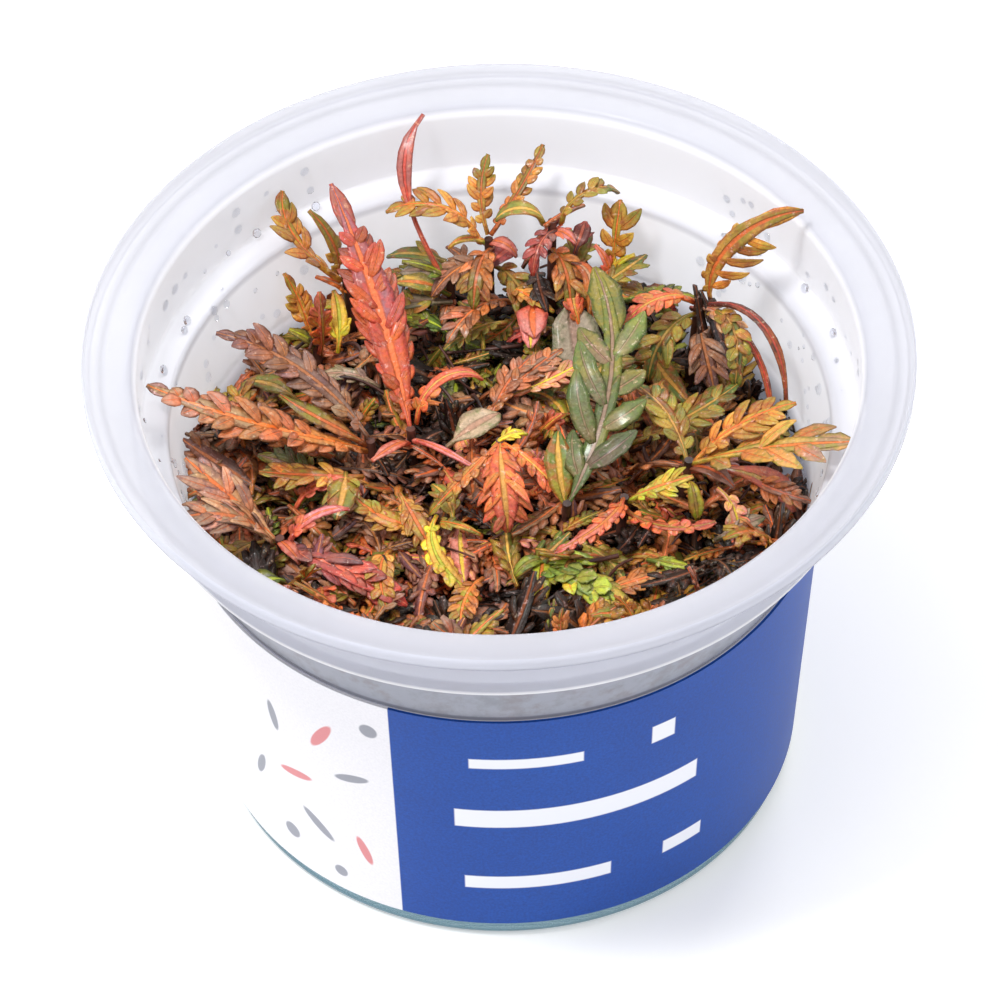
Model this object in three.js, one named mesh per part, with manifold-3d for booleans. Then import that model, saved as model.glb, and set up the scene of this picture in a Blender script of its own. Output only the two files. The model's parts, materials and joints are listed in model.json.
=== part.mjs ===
// Hygrophila pinnatifida plantlets from tissue culture, growing on nutrient gel
// in their open clear plastic cup.
// Millimetres, +Z up, origin at the middle of the cup's base. The front of the cup looks along -Y.

import * as THREE from "three";
import { mergeVertices } from "three/addons/utils/BufferGeometryUtils.js";
import Module from "manifold-3d";

const wasm = await Module();
wasm.setup();

// Cup: a rim flange with a turned-down lip, an upper collar, a shoulder, a neck and a tapering body
const HEIGHT = 67;
const RIM_RADIUS = 50.5;
const LIP_DEPTH = 2;
const FLANGE_DROP = 1.9;
const FLANGE_INNER_RADIUS = 44.7;
const COLLAR_RADIUS = 44.9;
const SHOULDER_Z = 54.4;
const NECK_TOP_RADIUS = 41.5;
const NECK_TOP_Z = 53.6;
const BODY_TOP_RADIUS = 39.2;
const BODY_TOP_Z = 43.6;
const BASE_RADIUS = 36.4;
const FOOT_RING_INNER_RADIUS = 34;
const BASE_RECESS = 1.4;
const WALL = 1;
const AROUND = 48;

// Printed sleeve around the body, open in a narrow strip at the back
const LABEL_BOTTOM_Z = 2.9;
const LABEL_THICKNESS = 0.35;
const LABEL_GAP = 0.15;
const LABEL_OPENING = 10;

// Nutrient gel, and the bed of small leaves and stems that fills the cup above it
const GEL_TOP_Z = 10;
const ROOT_DEPTH = 4;
const UNDERGROWTH_Z = 44;
const UNDERGROWTH_TUFT = 3.5;

// Plants
const STEM_RADIUS = 0.75;
const STEM_SIDES = 5;
const STEM_STEPS = 2;
const STEM_LEAN = 0.82;
const LEAF_THICKNESS = 1;
const LEAF_START = 1.3;
const LOBE_LEAN = 0.5;
const CLEARANCE = 0.3;
const SUBSTEPS = 4;

const FLOOR_Z = BASE_RECESS + WALL;

const FINISH = {
  cup: { color: 0xeceaf4, roughness: 0.25, metalness: 0, transparent: true, opacity: 0.4 },
  label: { color: 0x3a68b4, roughness: 0.45, metalness: 0 },
  gel: { color: 0xd9d2b8, roughness: 0.2, metalness: 0, transparent: true, opacity: 0.6 },
  undergrowth: { color: 0x4a3a1c, roughness: 0.6, metalness: 0 },
  stem: { color: 0x4b2a20, roughness: 0.5, metalness: 0 },
  red: { color: 0xd9604e, roughness: 0.45, metalness: 0 },
  orange: { color: 0xc9702c, roughness: 0.45, metalness: 0 },
  yellow: { color: 0xd9b62c, roughness: 0.45, metalness: 0 },
  olive: { color: 0x8f8a34, roughness: 0.45, metalness: 0 },
  green: { color: 0x6f8a5c, roughness: 0.45, metalness: 0 },
  brown: { color: 0x8a5a3a, roughness: 0.5, metalness: 0 },
};

// Each shoot has a crown, where its leaves part from the stem, in mm.
// A leaf starts `drop` below the crown. It heads off at turn[0] degrees from +X, seen from above,
// and rises at rise[0] degrees; turn[1] and rise[1] are how far these change by its tip.
// size is its length and its width over the lobes. lobes is the number on each side, and cut is the
// width left between them. left is the left half's share of the width, peak the place of the widest
// lobe, and roll turns the blade about its midrib.
// The sprigs are a shoot's small leaves and side stalks, grown in one with its stem.
const SHOOTS = [
  {
    name: "red",
    crown: [-11, 5, 48],
    leaves: [
      { turn: [103, 12], rise: [30, -5], size: [32, 7.4], lobes: 8, cut: 0.72, peak: 0.42, tint: "red" },
      { drop: 1.5, turn: [245, -20], rise: [45, -45], size: [8, 1.8], lobes: 1, cut: 0.9, tint: "red" },
      {
        drop: -1, turn: [50, -40], rise: [75, -130], size: [12, 2.2],
        lobes: 2, cut: 0.85, tint: "orange",
      },
    ],
    sprigs: [
      { drop: 2, turn: [305, 30], rise: [40, -65], size: [12, 1], lobes: 1, cut: 0.9, tint: "red" },
    ],
  },
  {
    name: "back_left",
    crown: [-19, 28, 52],
    leaves: [
      { turn: [195, -115], rise: [50, -25], size: [14, 6], lobes: 4, cut: 0.3, roll: -20, tint: "olive" },
      { drop: 0.5, turn: [140, 10], rise: [95, -60], size: [10, 3], lobes: 1, cut: 0.9, tint: "orange" },
    ],
    sprigs: [
      { drop: 3, turn: [210, -60], rise: [70, -75], size: [5, 2.2], lobes: 2, cut: 0.6, tint: "orange" },
      { drop: 6, turn: [210, -30], rise: [50, -60], size: [5, 1.8], lobes: 1, cut: 0.9, tint: "yellow" },
    ],
  },
  {
    name: "left_edge",
    crown: [-23, 24, 44],
    leaves: [
      { turn: [120, 25], rise: [65, -10], size: [9, 3.6], lobes: 3, cut: 0.4, tint: "orange" },
      { turn: [300, -20], rise: [75, 30], size: [10, 3.4], lobes: 3, cut: 0.4, tint: "brown" },
    ],
    sprigs: [
      { drop: 1, turn: [205, -45], rise: [75, -60], size: [5, 2.2], lobes: 1, cut: 0.9, tint: "green" },
    ],
  },
  {
    name: "strap",
    crown: [-6, 30, 50],
    leaves: [
      {
        turn: [170, -125], rise: [70, -45], size: [22, 2.1],
        lobes: 1, cut: 0.9, peak: 0.72, tint: "red",
      },
    ],
    sprigs: [
      { drop: 1, turn: [185, -5], rise: [50, -40], size: [7, 3], lobes: 2, cut: 0.7, tint: "green" },
      { drop: 2, turn: [355, -35], rise: [60, -80], size: [7, 1.8], lobes: 1, cut: 0.9, tint: "yellow" },
      { drop: 4, turn: [265, -35], rise: [10, -80], size: [6, 2], lobes: 2, cut: 0.7, tint: "brown" },
    ],
  },
  {
    name: "back",
    crown: [-1, 32, 54],
    leaves: [
      { turn: [170, 10], rise: [70, -105], size: [14, 5.5], lobes: 4, cut: 0.22, tint: "olive" },
      { drop: -1, turn: [110, -50], rise: [50, -10], size: [9, 3.6], lobes: 3, cut: 0.4, tint: "orange" },
      {
        drop: -1, turn: [40, 25], rise: [40, -15], size: [12, 2.8],
        lobes: 4, cut: 0.5, peak: 0.5, tint: "brown",
      },
    ],
    sprigs: [
      { drop: 1, turn: [185, -5], rise: [55, -115], size: [6, 1.2], lobes: 1, cut: 0.9, tint: "olive" },
      { drop: 1, turn: [330, 5], rise: [60, -135], size: [5, 2], lobes: 1, cut: 0.9, tint: "red" },
    ],
  },
  {
    name: "back_right",
    crown: [7, 31, 58],
    leaves: [
      { turn: [20, 10], rise: [70, -130], size: [10, 3], lobes: 3, cut: 0.35, tint: "olive" },
      { turn: [175, 15], rise: [60, -120], size: [7, 2.6], lobes: 1, cut: 0.9, tint: "green" },
    ],
    sprigs: [
      { turn: [35, 0], rise: [10, -25], size: [5, 0.9], lobes: 1, cut: 0.9, tint: "brown" },
      { drop: 2, turn: [325, -5], rise: [45, -90], size: [4, 2.6], lobes: 2, cut: 0.7, tint: "red" },
    ],
  },
  {
    name: "yellow_back",
    crown: [14, 30, 50],
    leaves: [
      {
        turn: [60, 15], rise: [85, -25], size: [9, 5.4],
        lobes: 3, cut: 0.25, peak: 0.64, tint: "yellow",
      },
    ],
    sprigs: [
      { drop: 1, turn: [5, -5], rise: [70, -45], size: [5, 2], lobes: 2, cut: 0.6, tint: "yellow" },
      { drop: 1, turn: [135, 10], rise: [95, -65], size: [5, 2.4], lobes: 2, cut: 0.6, tint: "red" },
      { turn: [245, 20], rise: [20, -90], size: [9, 4.4], lobes: 3, cut: 0.6, tint: "orange" },
    ],
  },
  {
    name: "green",
    crown: [8, -9, 49],
    leaves: [
      { turn: [55, 55], rise: [35, -30], size: [32, 10], lobes: 5, cut: 0.24, peak: 0.36, tint: "green" },
      { drop: 1.5, turn: [105, -20], rise: [55, -40], size: [9, 3.6], lobes: 1, cut: 0.9, tint: "green" },
    ],
    sprigs: [],
  },
  {
    name: "right_back",
    crown: [25, 19, 56],
    leaves: [
      {
        turn: [15, -5], rise: [95, -100], size: [19, 10],
        lobes: 5, cut: 0.15, left: 0.3, roll: -60, tint: "olive",
      },
      { turn: [200, 15], rise: [40, -80], size: [10, 3.8], lobes: 3, cut: 0.5, tint: "orange" },
      { drop: 2, turn: [320, -75], rise: [45, -135], size: [14, 3.2], lobes: 3, cut: 0.6, tint: "green" },
      { drop: 1, turn: [335, -60], rise: [35, -110], size: [19, 1.3], lobes: 1, cut: 0.9, tint: "brown" },
    ],
    sprigs: [
      { drop: 2, turn: [330, -55], rise: [15, -100], size: [20, 1], lobes: 1, cut: 0.9, tint: "brown" },
    ],
  },
  {
    name: "right",
    crown: [23, -4, 51],
    leaves: [
      {
        turn: [340, 15], rise: [35, -30], size: [21, 9.5],
        lobes: 4, cut: 0.25, peak: 0.62, tint: "brown",
      },
      { turn: [15, 0], rise: [50, -50], size: [14, 5.5], lobes: 4, cut: 0.3, tint: "olive" },
      { drop: 1, turn: [105, 30], rise: [30, -35], size: [12, 5], lobes: 3, cut: 0.4, tint: "olive" },
      {
        drop: 3, turn: [275, 10], rise: [60, -160], size: [7, 1.9],
        lobes: 1, cut: 0.9, peak: 0.65, tint: "yellow",
      },
    ],
    sprigs: [
      { drop: 1.5, turn: [330, 0], rise: [45, -95], size: [7, 2.4], lobes: 1, cut: 0.9, tint: "brown" },
      {
        drop: 2, turn: [0, -10], rise: [15, -80], size: [16, 5],
        lobes: 1, cut: 0.9, peak: 0.78, tint: "orange",
      },
    ],
  },
  {
    name: "orange_right",
    crown: [15, -9, 50],
    leaves: [
      { turn: [345, 35], rise: [45, -45], size: [8, 4], lobes: 4, cut: 0.4, tint: "yellow" },
      { turn: [255, -70], rise: [20, -50], size: [12, 2.8], lobes: 5, cut: 0.75, peak: 0.3, tint: "red" },
      { drop: 2, turn: [300, 85], rise: [15, -15], size: [12, 2.4], lobes: 2, cut: 0.6, tint: "orange" },
    ],
    sprigs: [],
  },
  {
    name: "front_green",
    crown: [5, -15, 45],
    leaves: [{ turn: [300, 40], rise: [40, -85], size: [15, 3.6], lobes: 3, cut: 0.75, tint: "green" }],
    sprigs: [
      { turn: [215, -5], rise: [60, -120], size: [5, 2], lobes: 1, cut: 0.9, tint: "green" },
      { turn: [262, 10], rise: [40, -130], size: [7, 2.4], lobes: 1, cut: 0.9, tint: "yellow" },
      { turn: [340, 20], rise: [40, -65], size: [7, 2.4], lobes: 1, cut: 0.9, tint: "green" },
    ],
  },
  {
    name: "centre",
    crown: [0, -1, 52],
    leaves: [
      { turn: [270, 10], rise: [30, -115], size: [13, 6.6], lobes: 5, cut: 0.6, peak: 0.55, tint: "red" },
      { drop: 0.5, turn: [318, 5], rise: [0, -50], size: [10, 3], lobes: 3, cut: 0.6, tint: "orange" },
      {
        drop: 0.5, turn: [235, -35], rise: [0, -50], size: [12, 2.2],
        lobes: 3, cut: 0.7, tint: "orange",
      },
    ],
    sprigs: [{ turn: [20, 10], rise: [30, -80], size: [4, 2.6], lobes: 2, cut: 0.6, tint: "yellow" }],
  },
  {
    name: "front_yellow",
    crown: [-8, -9, 47],
    leaves: [
      { turn: [255, 100], rise: [0, -40], size: [13, 2.6], lobes: 4, cut: 0.7, tint: "yellow" },
      { drop: 2, turn: [185, -50], rise: [5, 20], size: [10, 3.8], lobes: 4, cut: 0.65, tint: "orange" },
    ],
    sprigs: [
      { drop: 1, turn: [335, 10], rise: [25, -55], size: [6, 2.2], lobes: 2, cut: 0.6, tint: "olive" },
    ],
  },
  {
    name: "left",
    crown: [-16, 4, 47],
    leaves: [
      { drop: 1, turn: [210, -55], rise: [40, -30], size: [30, 6.4], lobes: 7, cut: 0.4, tint: "orange" },
      { turn: [190, -50], rise: [45, -35], size: [12, 2.6], lobes: 1, cut: 0.9, tint: "brown" },
      { drop: -1, turn: [140, 35], rise: [40, -25], size: [22, 6], lobes: 6, cut: 0.35, tint: "brown" },
    ],
    sprigs: [],
  },
  {
    name: "lower_left",
    crown: [-27, -13, 48],
    leaves: [
      { turn: [160, -20], rise: [45, -25], size: [14, 6], lobes: 4, cut: 0.3, tint: "brown" },
      { turn: [200, -10], rise: [70, -75], size: [14, 6], lobes: 4, cut: 0.3, tint: "brown" },
      { drop: 1, turn: [20, -5], rise: [65, -90], size: [9, 2.4], lobes: 2, cut: 0.75, tint: "red" },
      { drop: 1.5, turn: [325, 10], rise: [15, -40], size: [17, 4.4], lobes: 5, cut: 0.75, tint: "red" },
    ],
    sprigs: [
      { drop: 1, turn: [290, 35], rise: [60, -125], size: [5, 1.8], lobes: 1, cut: 0.9, tint: "red" },
    ],
  },
];

const radians = THREE.MathUtils.degToRad;

// The cup's outer radius at a height below the shoulder
function bodyRadius(z) {
  return BASE_RADIUS + ((BODY_TOP_RADIUS - BASE_RADIUS) * z) / BODY_TOP_Z;
}

// A body of revolution about +Z from points [radius, height] that close on themselves or on the axis
function turned(points) {
  const profile = points.map(([radius, z]) => new THREE.Vector2(radius, z));
  return new THREE.LatheGeometry(profile, AROUND).rotateX(Math.PI / 2);
}

// A closed solid from a geometry, with its seams merged and its empty triangles dropped
function toSolid(geometry) {
  const bare = geometry.clone();
  bare.deleteAttribute("normal");
  bare.deleteAttribute("uv");
  const merged = mergeVertices(bare, 1e-4);
  const corners = merged.index.array;
  const kept = [];
  for (let i = 0; i < corners.length; i += 3) {
    const [a, b, c] = corners.slice(i, i + 3);
    if (a !== b && b !== c && c !== a) kept.push(a, b, c);
  }
  const asManifold = () =>
    new wasm.Manifold(
      new wasm.Mesh({
        numProp: 3,
        vertProperties: merged.attributes.position.array,
        triVerts: Uint32Array.from(kept),
      }),
    );
  const solid = asManifold();
  if (solid.volume() > 0) return solid;
  for (let i = 0; i < kept.length; i += 3) [kept[i], kept[i + 1]] = [kept[i + 1], kept[i]];
  return asManifold();
}

// The largest of the separate bodies in a solid
function largestBody(solid) {
  return solid.decompose().reduce((best, body) => (body.volume() > best.volume() ? body : best));
}

// A named mesh of a solid in one of the finishes
function asMesh(name, solid, finish) {
  const { vertProperties, triVerts } = solid.getMesh();
  const geometry = new THREE.BufferGeometry();
  geometry.setAttribute("position", new THREE.BufferAttribute(vertProperties, 3));
  geometry.setIndex(new THREE.BufferAttribute(triVerts, 1));
  geometry.computeVertexNormals();
  const mesh = new THREE.Mesh(geometry, new THREE.MeshStandardMaterial(FINISH[finish]));
  mesh.name = name;
  return mesh;
}

// The cup's wall, closed at the base and open at the rim
function makeCup() {
  const flangeTop = HEIGHT - FLANGE_DROP;
  return turned([
    [0, BASE_RECESS],
    [FOOT_RING_INNER_RADIUS - 0.6, BASE_RECESS],
    [FOOT_RING_INNER_RADIUS, 0],
    [BASE_RADIUS - 0.4, 0],
    [bodyRadius(0.5), 0.5],
    [BODY_TOP_RADIUS, BODY_TOP_Z],
    [NECK_TOP_RADIUS, NECK_TOP_Z],
    [COLLAR_RADIUS, SHOULDER_Z],
    [COLLAR_RADIUS, flangeTop - WALL - 0.4],
    [RIM_RADIUS - WALL, HEIGHT - WALL - 0.3],
    [RIM_RADIUS - 0.9 * WALL, HEIGHT - LIP_DEPTH],
    [RIM_RADIUS, HEIGHT - LIP_DEPTH],
    [RIM_RADIUS, HEIGHT - 0.4],
    [RIM_RADIUS - 0.4, HEIGHT],
    [FLANGE_INNER_RADIUS, flangeTop],
    [COLLAR_RADIUS - WALL, flangeTop - 1],
    [COLLAR_RADIUS - WALL, SHOULDER_Z + WALL],
    [NECK_TOP_RADIUS - 0.9 * WALL, NECK_TOP_Z + WALL],
    [BODY_TOP_RADIUS - WALL, BODY_TOP_Z],
    [bodyRadius(FLOOR_Z) - WALL, FLOOR_Z],
    [0, FLOOR_Z],
  ]);
}

// The space inside the cup that the plants may fill, a clearance away from the wall
function makeInside() {
  const gap = WALL + CLEARANCE;
  return turned([
    [0, FLOOR_Z + CLEARANCE],
    [bodyRadius(FLOOR_Z) - gap, FLOOR_Z + CLEARANCE],
    [BODY_TOP_RADIUS - gap, BODY_TOP_Z],
    [NECK_TOP_RADIUS - gap, NECK_TOP_Z + gap],
    [COLLAR_RADIUS - gap, SHOULDER_Z + gap],
    [COLLAR_RADIUS - gap, HEIGHT + 10],
    [0, HEIGHT + 10],
  ]);
}

// The sleeve, with its opening at the back
function makeLabel() {
  const inner = (z) => bodyRadius(z) + LABEL_GAP;
  const outer = (z) => inner(z) + LABEL_THICKNESS;
  const ring = turned([
    [inner(LABEL_BOTTOM_Z), LABEL_BOTTOM_Z],
    [outer(LABEL_BOTTOM_Z), LABEL_BOTTOM_Z],
    [outer(BODY_TOP_Z), BODY_TOP_Z],
    [inner(BODY_TOP_Z), BODY_TOP_Z],
    [inner(LABEL_BOTTOM_Z), LABEL_BOTTOM_Z],
  ]);
  const width = 2 * RIM_RADIUS * Math.tan(radians(LABEL_OPENING / 2));
  const strip = new THREE.BoxGeometry(width, RIM_RADIUS, 2 * HEIGHT).translate(0, RIM_RADIUS, 0);
  return toSolid(ring).subtract(toSolid(strip));
}

// The gel as it set in the cup
function makeGel() {
  const gap = WALL + CLEARANCE;
  return turned([
    [0, FLOOR_Z + CLEARANCE],
    [bodyRadius(FLOOR_Z) - gap, FLOOR_Z + CLEARANCE],
    [bodyRadius(GEL_TOP_Z) - gap, GEL_TOP_Z],
    [0, GEL_TOP_Z],
  ]);
}

// A repeatable number from 0 to 1 for a whole number
function chance(seed) {
  const wave = Math.sin(seed * 12.9898) * 43758.5453;
  return wave - Math.floor(wave);
}

// The bed of small leaves as one tufted body, with a leaf tip and a hollow by turns
function makeUndergrowth() {
  const spokes = 24;
  const rings = 5;
  const bottom = GEL_TOP_Z + CLEARANCE;
  const topRadius = bodyRadius(UNDERGROWTH_Z) - WALL - 0.5;
  const bottomRadius = bodyRadius(bottom) - WALL - 0.5;
  const points = [0, 0, UNDERGROWTH_Z];
  for (let ring = 1; ring <= rings + 1; ring++) {
    for (let spoke = 0; spoke < spokes; spoke++) {
      const angle = ((spoke + (ring % 2) / 2) / spokes) * 2 * Math.PI;
      const onTop = ring <= rings;
      const uneven = ring === rings ? 3 * chance(spoke) : 0;
      const radius = onTop ? (topRadius * ring) / rings - uneven : bottomRadius;
      const x = radius * Math.cos(angle);
      const y = radius * Math.sin(angle);
      const tuft = UNDERGROWTH_TUFT * (2 * chance(31 * ring + spoke) - 1);
      points.push(x, y, onTop ? UNDERGROWTH_Z + tuft : bottom);
    }
  }
  points.push(0, 0, bottom);
  const at = (ring, spoke) => 1 + (ring - 1) * spokes + (spoke % spokes);
  const last = 1 + (rings + 1) * spokes;
  const corners = [];
  for (let spoke = 0; spoke < spokes; spoke++) {
    corners.push(0, at(1, spoke), at(1, spoke + 1));
    for (let ring = 1; ring <= rings; ring++) {
      corners.push(at(ring, spoke), at(ring + 1, spoke), at(ring + 1, spoke + 1));
      corners.push(at(ring, spoke), at(ring + 1, spoke + 1), at(ring, spoke + 1));
    }
    corners.push(last, at(rings + 1, spoke + 1), at(rings + 1, spoke));
  }
  const geometry = new THREE.BufferGeometry();
  geometry.setAttribute("position", new THREE.Float32BufferAttribute(points, 3));
  geometry.setIndex(corners);
  return geometry;
}

// A leaf's direction, right-hand side and upper face at a share of its length
function leafFrame(leaf, share) {
  const turn = radians(leaf.turn[0] + leaf.turn[1] * share);
  const rise = radians(leaf.rise[0] + leaf.rise[1] * share);
  const level = Math.cos(rise);
  const along = new THREE.Vector3(Math.cos(turn) * level, Math.sin(turn) * level, Math.sin(rise));
  const side = new THREE.Vector3(Math.sin(turn), -Math.cos(turn), 0);
  side.applyAxisAngle(along, -radians(leaf.roll ?? 0));
  return { along, side, face: side.clone().cross(along) };
}

// Half the width of a leaf at a share of its length: narrow at the stalk, widest at its peak,
// notched between lobes
function halfWidth(leaf, share) {
  const power = Math.log(0.5) / Math.log(leaf.peak ?? 0.5);
  const envelope = Math.sin(Math.PI * Math.min(share, 1) ** power) ** 0.7;
  const notch = 0.5 - 0.5 * Math.cos(2 * Math.PI * leaf.lobes * share);
  const lobed = leaf.cut + (1 - leaf.cut) * notch;
  return Math.max((leaf.size[1] / 2) * envelope * lobed, 0.35);
}

// A leaf as a closed blade, thick at its midrib and sharp at its lobed edge;
// grow makes it larger all round
function makeLeaf(leaf, start, grow = 0) {
  const stations = Math.max(2 * leaf.lobes, 6);
  const step = leaf.size[0] / stations / SUBSTEPS;
  const place = start.clone();
  const points = [];
  for (let station = 0; station <= stations; station++) {
    const share = station / stations;
    const { along, side, face } = leafFrame(leaf, share);
    const end = station === 0 ? -grow : station === stations ? grow : 0;
    const width = halfWidth(leaf, share) + 2 * grow;
    const thickness = (LEAF_THICKNESS / 2) * (station === stations ? 0.6 : 1) + grow;
    const middle = place.clone().addScaledVector(along, end);
    const lean = LOBE_LEAN * width;
    const lift = 0.2 * width;
    for (const [across, up, on] of [
      [width, lift, lean],
      [0, -thickness, 0],
      [-width * (leaf.left ?? 1), lift, lean],
      [0, thickness, 0],
    ]) {
      const point = middle.clone().addScaledVector(side, across);
      point.addScaledVector(face, up).addScaledVector(along, on);
      points.push(point.x, point.y, point.z);
    }
    for (let i = 0; i < SUBSTEPS; i++) {
      place.addScaledVector(leafFrame(leaf, share + (i + 0.5) / SUBSTEPS / stations).along, step);
    }
  }
  const corners = [0, 3, 2, 0, 2, 1];
  for (let station = 0; station < stations; station++) {
    for (let i = 0; i < 4; i++) {
      const a = 4 * station + i;
      const b = 4 * station + ((i + 1) % 4);
      corners.push(a, b, b + 4, a, b + 4, a + 4);
    }
  }
  const tip = 4 * stations;
  corners.push(tip, tip + 1, tip + 2, tip, tip + 2, tip + 3);
  const geometry = new THREE.BufferGeometry();
  geometry.setAttribute("position", new THREE.Float32BufferAttribute(points, 3));
  geometry.setIndex(corners);
  return toSolid(geometry);
}

// A stem from its root in the gel up to its crown, leaning out as it rises
function makeStem(crown, grow = 0) {
  const depth = GEL_TOP_Z - ROOT_DEPTH - grow;
  const root = new THREE.Vector3(crown.x * STEM_LEAN, crown.y * STEM_LEAN, depth);
  const top = crown.clone().setZ(crown.z + grow);
  const section = new THREE.Shape();
  for (let i = 0; i < STEM_SIDES; i++) {
    const angle = (2 * Math.PI * i) / STEM_SIDES;
    const radius = STEM_RADIUS + 1.3 * grow;
    section[i === 0 ? "moveTo" : "lineTo"](radius * Math.cos(angle), radius * Math.sin(angle));
  }
  const path = new THREE.LineCurve3(root, top);
  const sweep = { steps: STEM_STEPS, extrudePath: path, curveSegments: 1 };
  return toSolid(new THREE.ExtrudeGeometry(section, sweep));
}

// Where a leaf starts: out from the stem in the leaf's own direction
function leafStart(leaf, crown, distance) {
  const start = crown.clone().setZ(crown.z - (leaf.drop ?? 0));
  const turn = radians(leaf.turn[0]);
  const out = new THREE.Vector3(Math.cos(turn), Math.sin(turn), 0.2);
  return start.addScaledVector(out, distance);
}

// Every stem with its sprigs and every leaf, each with the larger form that its neighbours keep out of
function makePlants() {
  const stems = [];
  const leaves = [];
  for (const shoot of SHOOTS) {
    const crown = new THREE.Vector3(...shoot.crown);
    let solid = makeStem(crown);
    let room = makeStem(crown, CLEARANCE);
    for (const sprig of shoot.sprigs) {
      const start = leafStart(sprig, crown, 0);
      solid = solid.add(makeLeaf(sprig, start));
      room = room.add(makeLeaf(sprig, start, CLEARANCE));
    }
    stems.push({ name: `stem_${shoot.name}`, solid, room, finish: "stem" });
    shoot.leaves.forEach((leaf, i) => {
      const start = leafStart(leaf, crown, LEAF_START);
      const name = `leaf_${shoot.name}_${i + 1}`;
      const room = makeLeaf(leaf, start, CLEARANCE);
      leaves.push({ name, solid: makeLeaf(leaf, start), room, finish: leaf.tint });
    });
  }
  return [...stems, ...leaves];
}

const inside = toSolid(makeInside());
const plants = makePlants();
let undergrowth = toSolid(makeUndergrowth());
let gel = toSolid(makeGel());
plants.forEach((piece, i) => {
  piece.solid = piece.solid.intersect(inside);
  for (const earlier of plants.slice(0, i)) piece.solid = piece.solid.subtract(earlier.room);
  piece.solid = largestBody(piece.solid);
  undergrowth = undergrowth.subtract(piece.room);
  gel = gel.subtract(piece.room);
});

const culture = new THREE.Group();
culture.name = "hygrophila_culture_cup";
culture.add(asMesh("cup", toSolid(makeCup()), "cup"));
culture.add(asMesh("label", makeLabel(), "label"));
culture.add(asMesh("nutrient_gel", largestBody(gel), "gel"));
culture.add(asMesh("undergrowth", largestBody(undergrowth), "undergrowth"));
for (const { name, solid, finish } of plants) culture.add(asMesh(name, solid, finish));

export default culture;
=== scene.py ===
"""Hygrophila pinnatifida plantlets from tissue culture, on nutrient gel in their open clear cup."""

import json
import math
import random

import bpy
import numpy as np
from mathutils import Matrix, Vector

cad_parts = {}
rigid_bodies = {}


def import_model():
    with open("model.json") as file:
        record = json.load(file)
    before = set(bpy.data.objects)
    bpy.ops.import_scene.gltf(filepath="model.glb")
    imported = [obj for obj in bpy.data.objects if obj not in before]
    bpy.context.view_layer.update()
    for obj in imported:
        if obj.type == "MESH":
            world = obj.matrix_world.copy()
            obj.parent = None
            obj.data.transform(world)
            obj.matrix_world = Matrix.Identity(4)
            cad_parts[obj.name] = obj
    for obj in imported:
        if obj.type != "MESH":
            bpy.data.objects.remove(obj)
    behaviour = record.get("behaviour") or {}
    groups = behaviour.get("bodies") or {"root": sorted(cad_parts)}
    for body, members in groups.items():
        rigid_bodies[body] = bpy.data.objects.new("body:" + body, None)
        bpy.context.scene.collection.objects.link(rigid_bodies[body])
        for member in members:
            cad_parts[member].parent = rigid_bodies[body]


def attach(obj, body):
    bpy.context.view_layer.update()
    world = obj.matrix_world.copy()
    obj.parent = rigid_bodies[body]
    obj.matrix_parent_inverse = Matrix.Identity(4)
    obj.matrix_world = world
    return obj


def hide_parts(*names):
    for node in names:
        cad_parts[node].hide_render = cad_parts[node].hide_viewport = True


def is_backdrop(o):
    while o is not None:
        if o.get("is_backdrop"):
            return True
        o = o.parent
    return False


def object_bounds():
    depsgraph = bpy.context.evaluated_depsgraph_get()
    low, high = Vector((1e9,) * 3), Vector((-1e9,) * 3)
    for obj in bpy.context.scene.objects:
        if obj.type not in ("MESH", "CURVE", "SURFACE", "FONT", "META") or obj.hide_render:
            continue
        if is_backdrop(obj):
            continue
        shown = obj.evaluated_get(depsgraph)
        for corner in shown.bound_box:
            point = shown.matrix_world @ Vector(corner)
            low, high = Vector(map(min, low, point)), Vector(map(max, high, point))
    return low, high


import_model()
size_at_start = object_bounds()

# Sizes in millimetres, as in the part's source; every mesh is made in metres
MM = 0.001

# Cup
HEIGHT = 67
RIM_RADIUS = 50.5
LIP_DEPTH = 2
FLANGE_DROP = 1.9
FLANGE_INNER_RADIUS = 44.7
COLLAR_RADIUS = 44.9
SHOULDER_Z = 54.4
NECK_TOP_RADIUS = 41.5
NECK_TOP_Z = 53.6
BODY_TOP_RADIUS = 39.2
BODY_TOP_Z = 43.6
BASE_RADIUS = 36.4
FOOT_RING_INNER_RADIUS = 34
BASE_RECESS = 1.4
WALL = 1
FILLET = 0.45
FILLET_STEPS = 4
CUP_SIDES = 240

# How the plastic looks by height in mm, outside and inside: its tone and how much it hides of what
# is behind it. Some tones are painted light and shade: painted shadow lines above the sleeve and
# under the lip, painted shade on the neck outside, a neck inside painted bright as if lit through
# the wall, and a ledge inside painted darker to damp its highlight
CUP_OUTSIDE = [
    (2.2, (98, 150, 168), 0.58),
    (3.4, (200, 203, 218), 0.58),
    (43.5, (200, 203, 218), 0.58),
    # Painted shadow: a dark line just above the sleeve's top edge
    (43.7, (104, 106, 120), 0.88),
    (44.2, (104, 106, 120), 0.88),
    # Painted shade: the neck outside, darker as if under the rim, dulled by the leaves behind
    (44.5, (150, 154, 168), 0.88),
    (53.5, (150, 154, 168), 0.88),
    (54.1, (252, 252, 255), 0.8),
    (54.8, (252, 252, 255), 0.8),
    (55.2, (178, 181, 196), 0.7),
    (62.0, (178, 181, 196), 0.7),
    (63.6, (216, 218, 230), 0.74),
    (64.9, (216, 218, 230), 0.74),
    # Painted shadow: a dark line along the lip's lower edge
    (65.0, (150, 152, 166), 0.8),
    (65.3, (150, 152, 166), 0.8),
    (65.5, (236, 238, 249), 0.74),
]
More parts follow.
